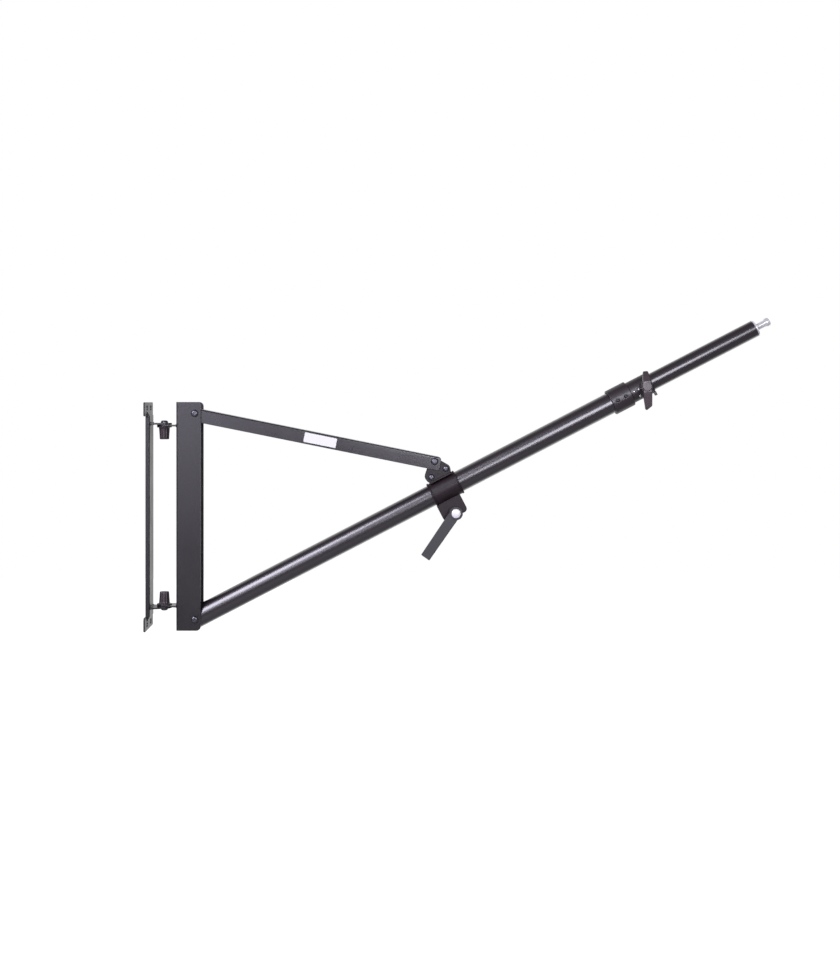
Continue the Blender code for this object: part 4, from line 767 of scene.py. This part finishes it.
barrel = spun("cast_lock_collar", tube_outline(17.5, 20.5, 914.3, 955, 0.6), along_boom(0), steps=112)
boss_outline = [(0, 16), (10.2, 16), (9.6, 19.2), (8.7, 20.3), (8.15, 21.4), (8, 22.4), (8, 30.3)]
boss_outline += [(7.8, 30.8), (7.3, 31), (0, 31)]
cut(barrel, spun("boss", boss_outline, across_boom(STUD_ALONG), steps=72), "UNION")
cut(barrel, rod("nose_bore", 18.3, 900, 970, along_boom(0), steps=112))
cut(barrel, rod("boss_bore", 4.3, 10, 40, across_boom(STUD_ALONG)))
rivet_places = (("rear", 920.5, 0), ("front", 929.8, 0), ("lower", 927, radians(36)))
rivet_turn = Matrix.Translation(boom_point(0)) @ Matrix.Rotation(-BOOM_ANGLE, 4, "Y")
for end, along, turn in rivet_places:
    place = rivet_turn @ Matrix.Rotation(turn, 4, "X") @ Matrix.Translation((along * MM, 0, 0)) @ NEARWARD
    cut(barrel, rod("rivet_hole", 1.5, 12, 30, place, steps=32))
    dome_outline = [(0, 22.0), (0.8, 21.93), (1.45, 21.72), (1.9, 21.4), (2.15, 21.1), (2.2, 20.8)]
    dome_outline += [(1.2, 20.8), (1.2, 18), (0, 18)]
    rivet = spun(end + "_domed_rivet", dome_outline, place, steps=40)
    shown(eased(rivet, 0.0), "boom", "bright_steel", bright_steel, end + "_collar_rivet")
shown(eased(barrel, 0.0), "boom", "cast_black", cast_metal, "lock_collar")


# Tee handle
# A brown black plastic tee is moulded on a plated stud. Its wings fall back from a flat hub. Voxels
# of half a millimetre give its edges the soft look of a moulding, and smoothing takes steps off.
def moulded(node, voxel, rounds, material, name, shaves=()):
    """A rounded copy of a plain node, as a mould would leave it, after any slanted cuts."""
    piece = merged_copy(node, name)
    bpy.ops.mesh.normals_make_consistent(inside=False)
    for point, normal in shaves:
        bpy.ops.mesh.select_all(action="SELECT")
        bpy.ops.mesh.bisect(plane_co=point, plane_no=normal, clear_outer=True, use_fill=True)
    bpy.ops.object.mode_set(mode="OBJECT")
    remesh = piece.modifiers.new("grains", "REMESH")
    remesh.mode = "VOXEL"
    remesh.voxel_size = voxel
    bpy.ops.object.modifier_apply(modifier=remesh.name)
    smooth = piece.modifiers.new("soften", "SMOOTH")
    smooth.factor = 0.5
    smooth.iterations = rounds
    bpy.ops.object.modifier_apply(modifier=smooth.name)
    bpy.ops.object.shade_smooth()
    return shown(piece, carriers[node], finishes[node], material, node)


tee_plastic = coat(
    "tee_plastic", (0.044, 0.027, 0.033), (0.17, 0.14, 0.15), 0.30, 0.36, 120, 0.004, 0.06, specular=0.9
)
TEE_LEAN = radians(5)
TEE_FACE = -50.1
TEE_HUB_HALF = 9.5
LOWER_FALL = radians(7)
UPPER_FALL = radians(20)
tee_up = Vector((-sin(TEE_LEAN), 0, cos(TEE_LEAN)))
shaves = []
for side, fall in ((-1, LOWER_FALL), (1, UPPER_FALL)):
    ridge = boom_point(STUD_ALONG, 0, TEE_FACE) + tee_up * (side * TEE_HUB_HALF) * MM
    shaves.append((ridge, Vector((0, -cos(fall), 0)) + tee_up * side * sin(fall)))
moulded("tee_handle", 0.5 * MM, 3, tee_plastic, "moulded_tee", shaves)


# Tip plug and spigot
# The plug is turned from aluminium and pressed in the inner tube's mouth. The spigot is a steel stud
# with a 16 mm head, a neck for the lamp's screw and a centre drilled end, all chrome plated.
aluminium = metal(
    "turned_aluminium", (0.88, 0.88, 0.89), (0.70, 0.70, 0.70), 0.28, 0.38, 0.05, metallic=0.45
)
chrome = metal("satin_chrome", (0.90, 0.90, 0.91), (0.72, 0.72, 0.72), 0.16, 0.26, 0.03, metallic=0.5)
plug_outline = [(5.3, 1152.8), (13.4, 1152.8), (14.2, 1153.6), (14.2, 1177.8), (15.6, 1177.8), (16, 1178.1)]
plug_outline += [(16, 1180.2), (15.5, 1180.8), (10, 1180.9), (6.6, 1184.6), (6.2, 1184.8), (5.3, 1184.8)]
tip = spun("turned_tip_plug", plug_outline + [(5.3, 1152.8)], along_boom(0), steps=112)
shown(eased(tip, 0.0), "extension", "aluminium", aluminium, "tip_plug")
spigot_outline = [(0, 1167.1), (5, 1167.1), (5, 1185.1), (5.9, 1185.1), (6.2, 1185.4), (6.2, 1199.6)]
spigot_outline += [(6.45, 1200.1), (7.7, 1201.1), (8, 1201.6), (8, 1207.4), (7.7, 1207.9)]
spigot_outline += [(6.9, 1208.6), (6.5, 1208.8)]
spigot_outline += [(1.9, 1208.8), (1.6, 1208.5), (0, 1206.9)]
stud = spun("chromed_spigot", spigot_outline, along_boom(0), steps=96)
shown(eased(stud, 0.0), "extension", "bright_steel", chrome, "spigot")


# Sliding collar
# The liner is moulded in slippery plastic, with a grooved rim at each end that traps the casting.
# The split casting has two cheeks below for the clamp, and a saddle brazed on its crown.
COLLAR_ALONG = 530.93
LINER_TAIL = -33.65
LINER_MOUTH = 23.35
rim = [(20.3, 0.3), (20.6, 0), (22.9, 0), (23.35, 0.2), (23.5, 0.6), (23.5, 1.2), (23.2, 1.5), (23.2, 1.8)]
rim += [(23.5, 2.1), (23.5, 3.0), (23.3, 3.4), (22.9, 3.5), (21.1, 3.5)]
liner_outline = [(radius, LINER_TAIL + height) for radius, height in rim]
liner_outline += [(radius, LINER_MOUTH - height) for radius, height in rim[::-1]]
liner = spun("moulded_liner", liner_outline + liner_outline[:1], along_boom(COLLAR_ALONG), steps=112)
shown(eased(liner, 0.0), "collar", "black_plastic", hard_plastic, "slide_liner")
refined("clamp_collar", 0.45 * MM, dull_casting)
refined("collar_saddle", 0.45 * MM, dull_casting)


# Bracket
# Two stamped plates stand on the saddle's lug and are held by two button head bolts. Their top
# hole carries the brace's bolt, with a spacer tube between the plates.
for side in ("near", "far"):
    refined(side + "_bracket_plate", 0.4 * MM, bracket_coat)
for end, along, up in (("front", 12.35, 34.0), ("rear", -18.65, 32.0)):
    place = across_boom(COLLAR_ALONG + along, up)
    button_bolt(end + "_bracket_button_bolt", 3, 5.5, 3.2, place, 17.0, 24.0, 8, 4, end + "_bracket_bolt")
    place = across_boom(COLLAR_ALONG + along, up, FARWARD, 0.35)
    lock_nut(end + "_bracket_lock_nut", 10, 5.5, 3.1, place, 17.0, end + "_bracket_nut")
place = across_boom(COLLAR_ALONG, 55.6)
button_bolt("brace_tip_button_bolt", 4, 6.75, 4, place, 19.3, 28.3, 12, 5, "brace_tip_bolt")
place = across_boom(COLLAR_ALONG, 55.6, FARWARD, 0.6)
lock_nut("brace_tip_lock_nut", 13, 7.5, 4.1, place, 19.3, "brace_tip_nut")


# Clamp lever
# A flat cast lever in matt grey paint draws the cheeks together. A bright domed cap hides the end of
# its bolt, whose hexagon head is on the far side.
lever_paint = coat(
    "lever_paint", (0.062, 0.060, 0.063), (0.20, 0.20, 0.20), 0.5, 0.62, 340, 0.08, 0.25, specular=0.35
)
moulded("clamp_lever", 0.5 * MM, 4, lever_paint, "cast_lever")
refined("clamp_bolt", 0.3 * MM, black_steel)
refined("lever_washer", 0.2 * MM, bright_steel)
low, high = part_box("lever_cap")
cap_middle = place_of((low.x + high.x) / 2, (low.z + high.z) / 2, NEARWARD, high.y)
cap_height = (high.y - low.y) / MM
cap_outline = [(0, 0), (8.3, 0), (8.5, 0.2), (8.5, 0.8)]
for step in range(1, 9):
    turn = step / 9 * pi / 2
    cap_outline.append((8.5 * cos(turn), 0.8 + (cap_height - 0.8) * sin(turn)))
cap = spun("domed_lever_cap", cap_outline + [(0, cap_height)], cap_middle, steps=72)
cap_metal = metal("satin_cap", (0.92, 0.89, 0.91), (0.75, 0.74, 0.74), 0.3, 0.4, 0.02, metallic=0.25)
shown(eased(cap, 0.0), "lever", "bright_steel", cap_metal, "lever_cap")


# Brace and its label
# The brace is a channel folded from 2 mm sheet, glossier than the post. A blank white paper label
# is stuck on its near side.
gloss_coat = coat(
    "gloss_coat", (0.0145, 0.0105, 0.0145), (0.12, 0.12, 0.125), 0.24, 0.32, 320, 0.02, 0.12, specular=0.95
)
refined("brace_channel", 0.6 * MM, gloss_coat, 3)
LABEL_LENGTH = 61
LABEL_HEIGHT = 18
LABEL_FROM_ROOT = 208
LABEL_THICKNESS = 0.12
LABEL_FACE = -19.08
LABEL_BELOW_PIVOT = 3.1
BRACE_SLOPE = radians(-11.36)
ROOT_PIVOT = Vector((PIVOT_X, 0, PIVOT_HALF))
label_paper = bpy.data.materials.new("label_paper")
label_paper.use_nodes = True
paper = label_paper.node_tree
shader = paper.nodes["Principled BSDF"]
fibres = paper.nodes.new("ShaderNodeTexNoise")
fibres.inputs["Scale"].default_value = 900
fibres.inputs["Detail"].default_value = 5
tint = paper.nodes.new("ShaderNodeMapRange")
tint.inputs["To Min"].default_value = 0.80
tint.inputs["To Max"].default_value = 0.88
gloss = paper.nodes.new("ShaderNodeMapRange")
gloss.inputs["To Min"].default_value = 0.42
gloss.inputs["To Max"].default_value = 0.58
place = paper.nodes.new("ShaderNodeTexCoord")
paper.links.new(place.outputs["Object"], fibres.inputs["Vector"])
paper.links.new(fibres.outputs["Fac"], tint.inputs["Value"])
paper.links.new(fibres.outputs["Fac"], gloss.inputs["Value"])
paper.links.new(tint.outputs["Result"], shader.inputs["Base Color"])
paper.links.new(gloss.outputs["Result"], shader.inputs["Roughness"])
bpy.ops.object.select_all(action="DESELECT")
bpy.ops.mesh.primitive_cube_add(size=MM)
label = bpy.context.object
label.name = "blank_label"
bpy.ops.transform.resize(value=(LABEL_LENGTH, LABEL_THICKNESS, LABEL_HEIGHT))
label_middle = (LABEL_FROM_ROOT + LABEL_LENGTH / 2, LABEL_FACE, -LABEL_BELOW_PIVOT)
bpy.ops.transform.translate(value=[distance * MM for distance in label_middle])
bpy.ops.object.transform_apply(location=True, rotation=True, scale=True)
only(label)
corners = label.modifiers.new("corners", "BEVEL")
corners.width = 1.2 * MM
corners.segments = 4
corners.affect = "EDGES"
corners.limit_method = "WEIGHT"
weights = label.data.attributes.new("bevel_weight_edge", "FLOAT", "EDGE")
for edge in label.data.edges:
    first, second = (label.data.vertices[i].co for i in edge.vertices)
    weights.data[edge.index].value = 1.0 if abs(first.y - second.y) > 0.05 * MM else 0.0
bpy.ops.object.modifier_apply(modifier=corners.name)
label.matrix_world = Matrix.Translation(ROOT_PIVOT) @ Matrix.Rotation(-BRACE_SLOPE, 4, "Y")
bpy.ops.object.transform_apply(location=True, rotation=True, scale=True)
bpy.ops.object.shade_smooth_by_angle(angle=radians(35))
shown(label, "brace", "nylon", label_paper)


# Washers, bushes and spacers
# The pieces inside keep their plain shapes: natural nylon washers and bushes, plated spacers and
# stud, and a brass pad that the stud presses on the inner tube.
nylon = coat(
    "natural_nylon", (0.62, 0.61, 0.57), (0.45, 0.43, 0.40), 0.45, 0.6, 500, 0.1, 0.3, specular=0.4
)
brass = metal("turned_brass", (0.76, 0.58, 0.28), (0.40, 0.30, 0.16), 0.22, 0.36, 0.15)
kept = {
    nylon: (
        "near_boom_root_washer", "far_boom_root_washer", "near_brace_root_washer", "far_brace_root_washer",
        "guide_bush", "tail_bush",
    ),
    bright_steel: ("brace_root_spacer", "bracket_spacer", "tee_stud"),
    brass: ("lock_pad",),
}
for material, names in kept.items():
    for name in names:
        frame["nodes"][name].material_slots[0].material = material
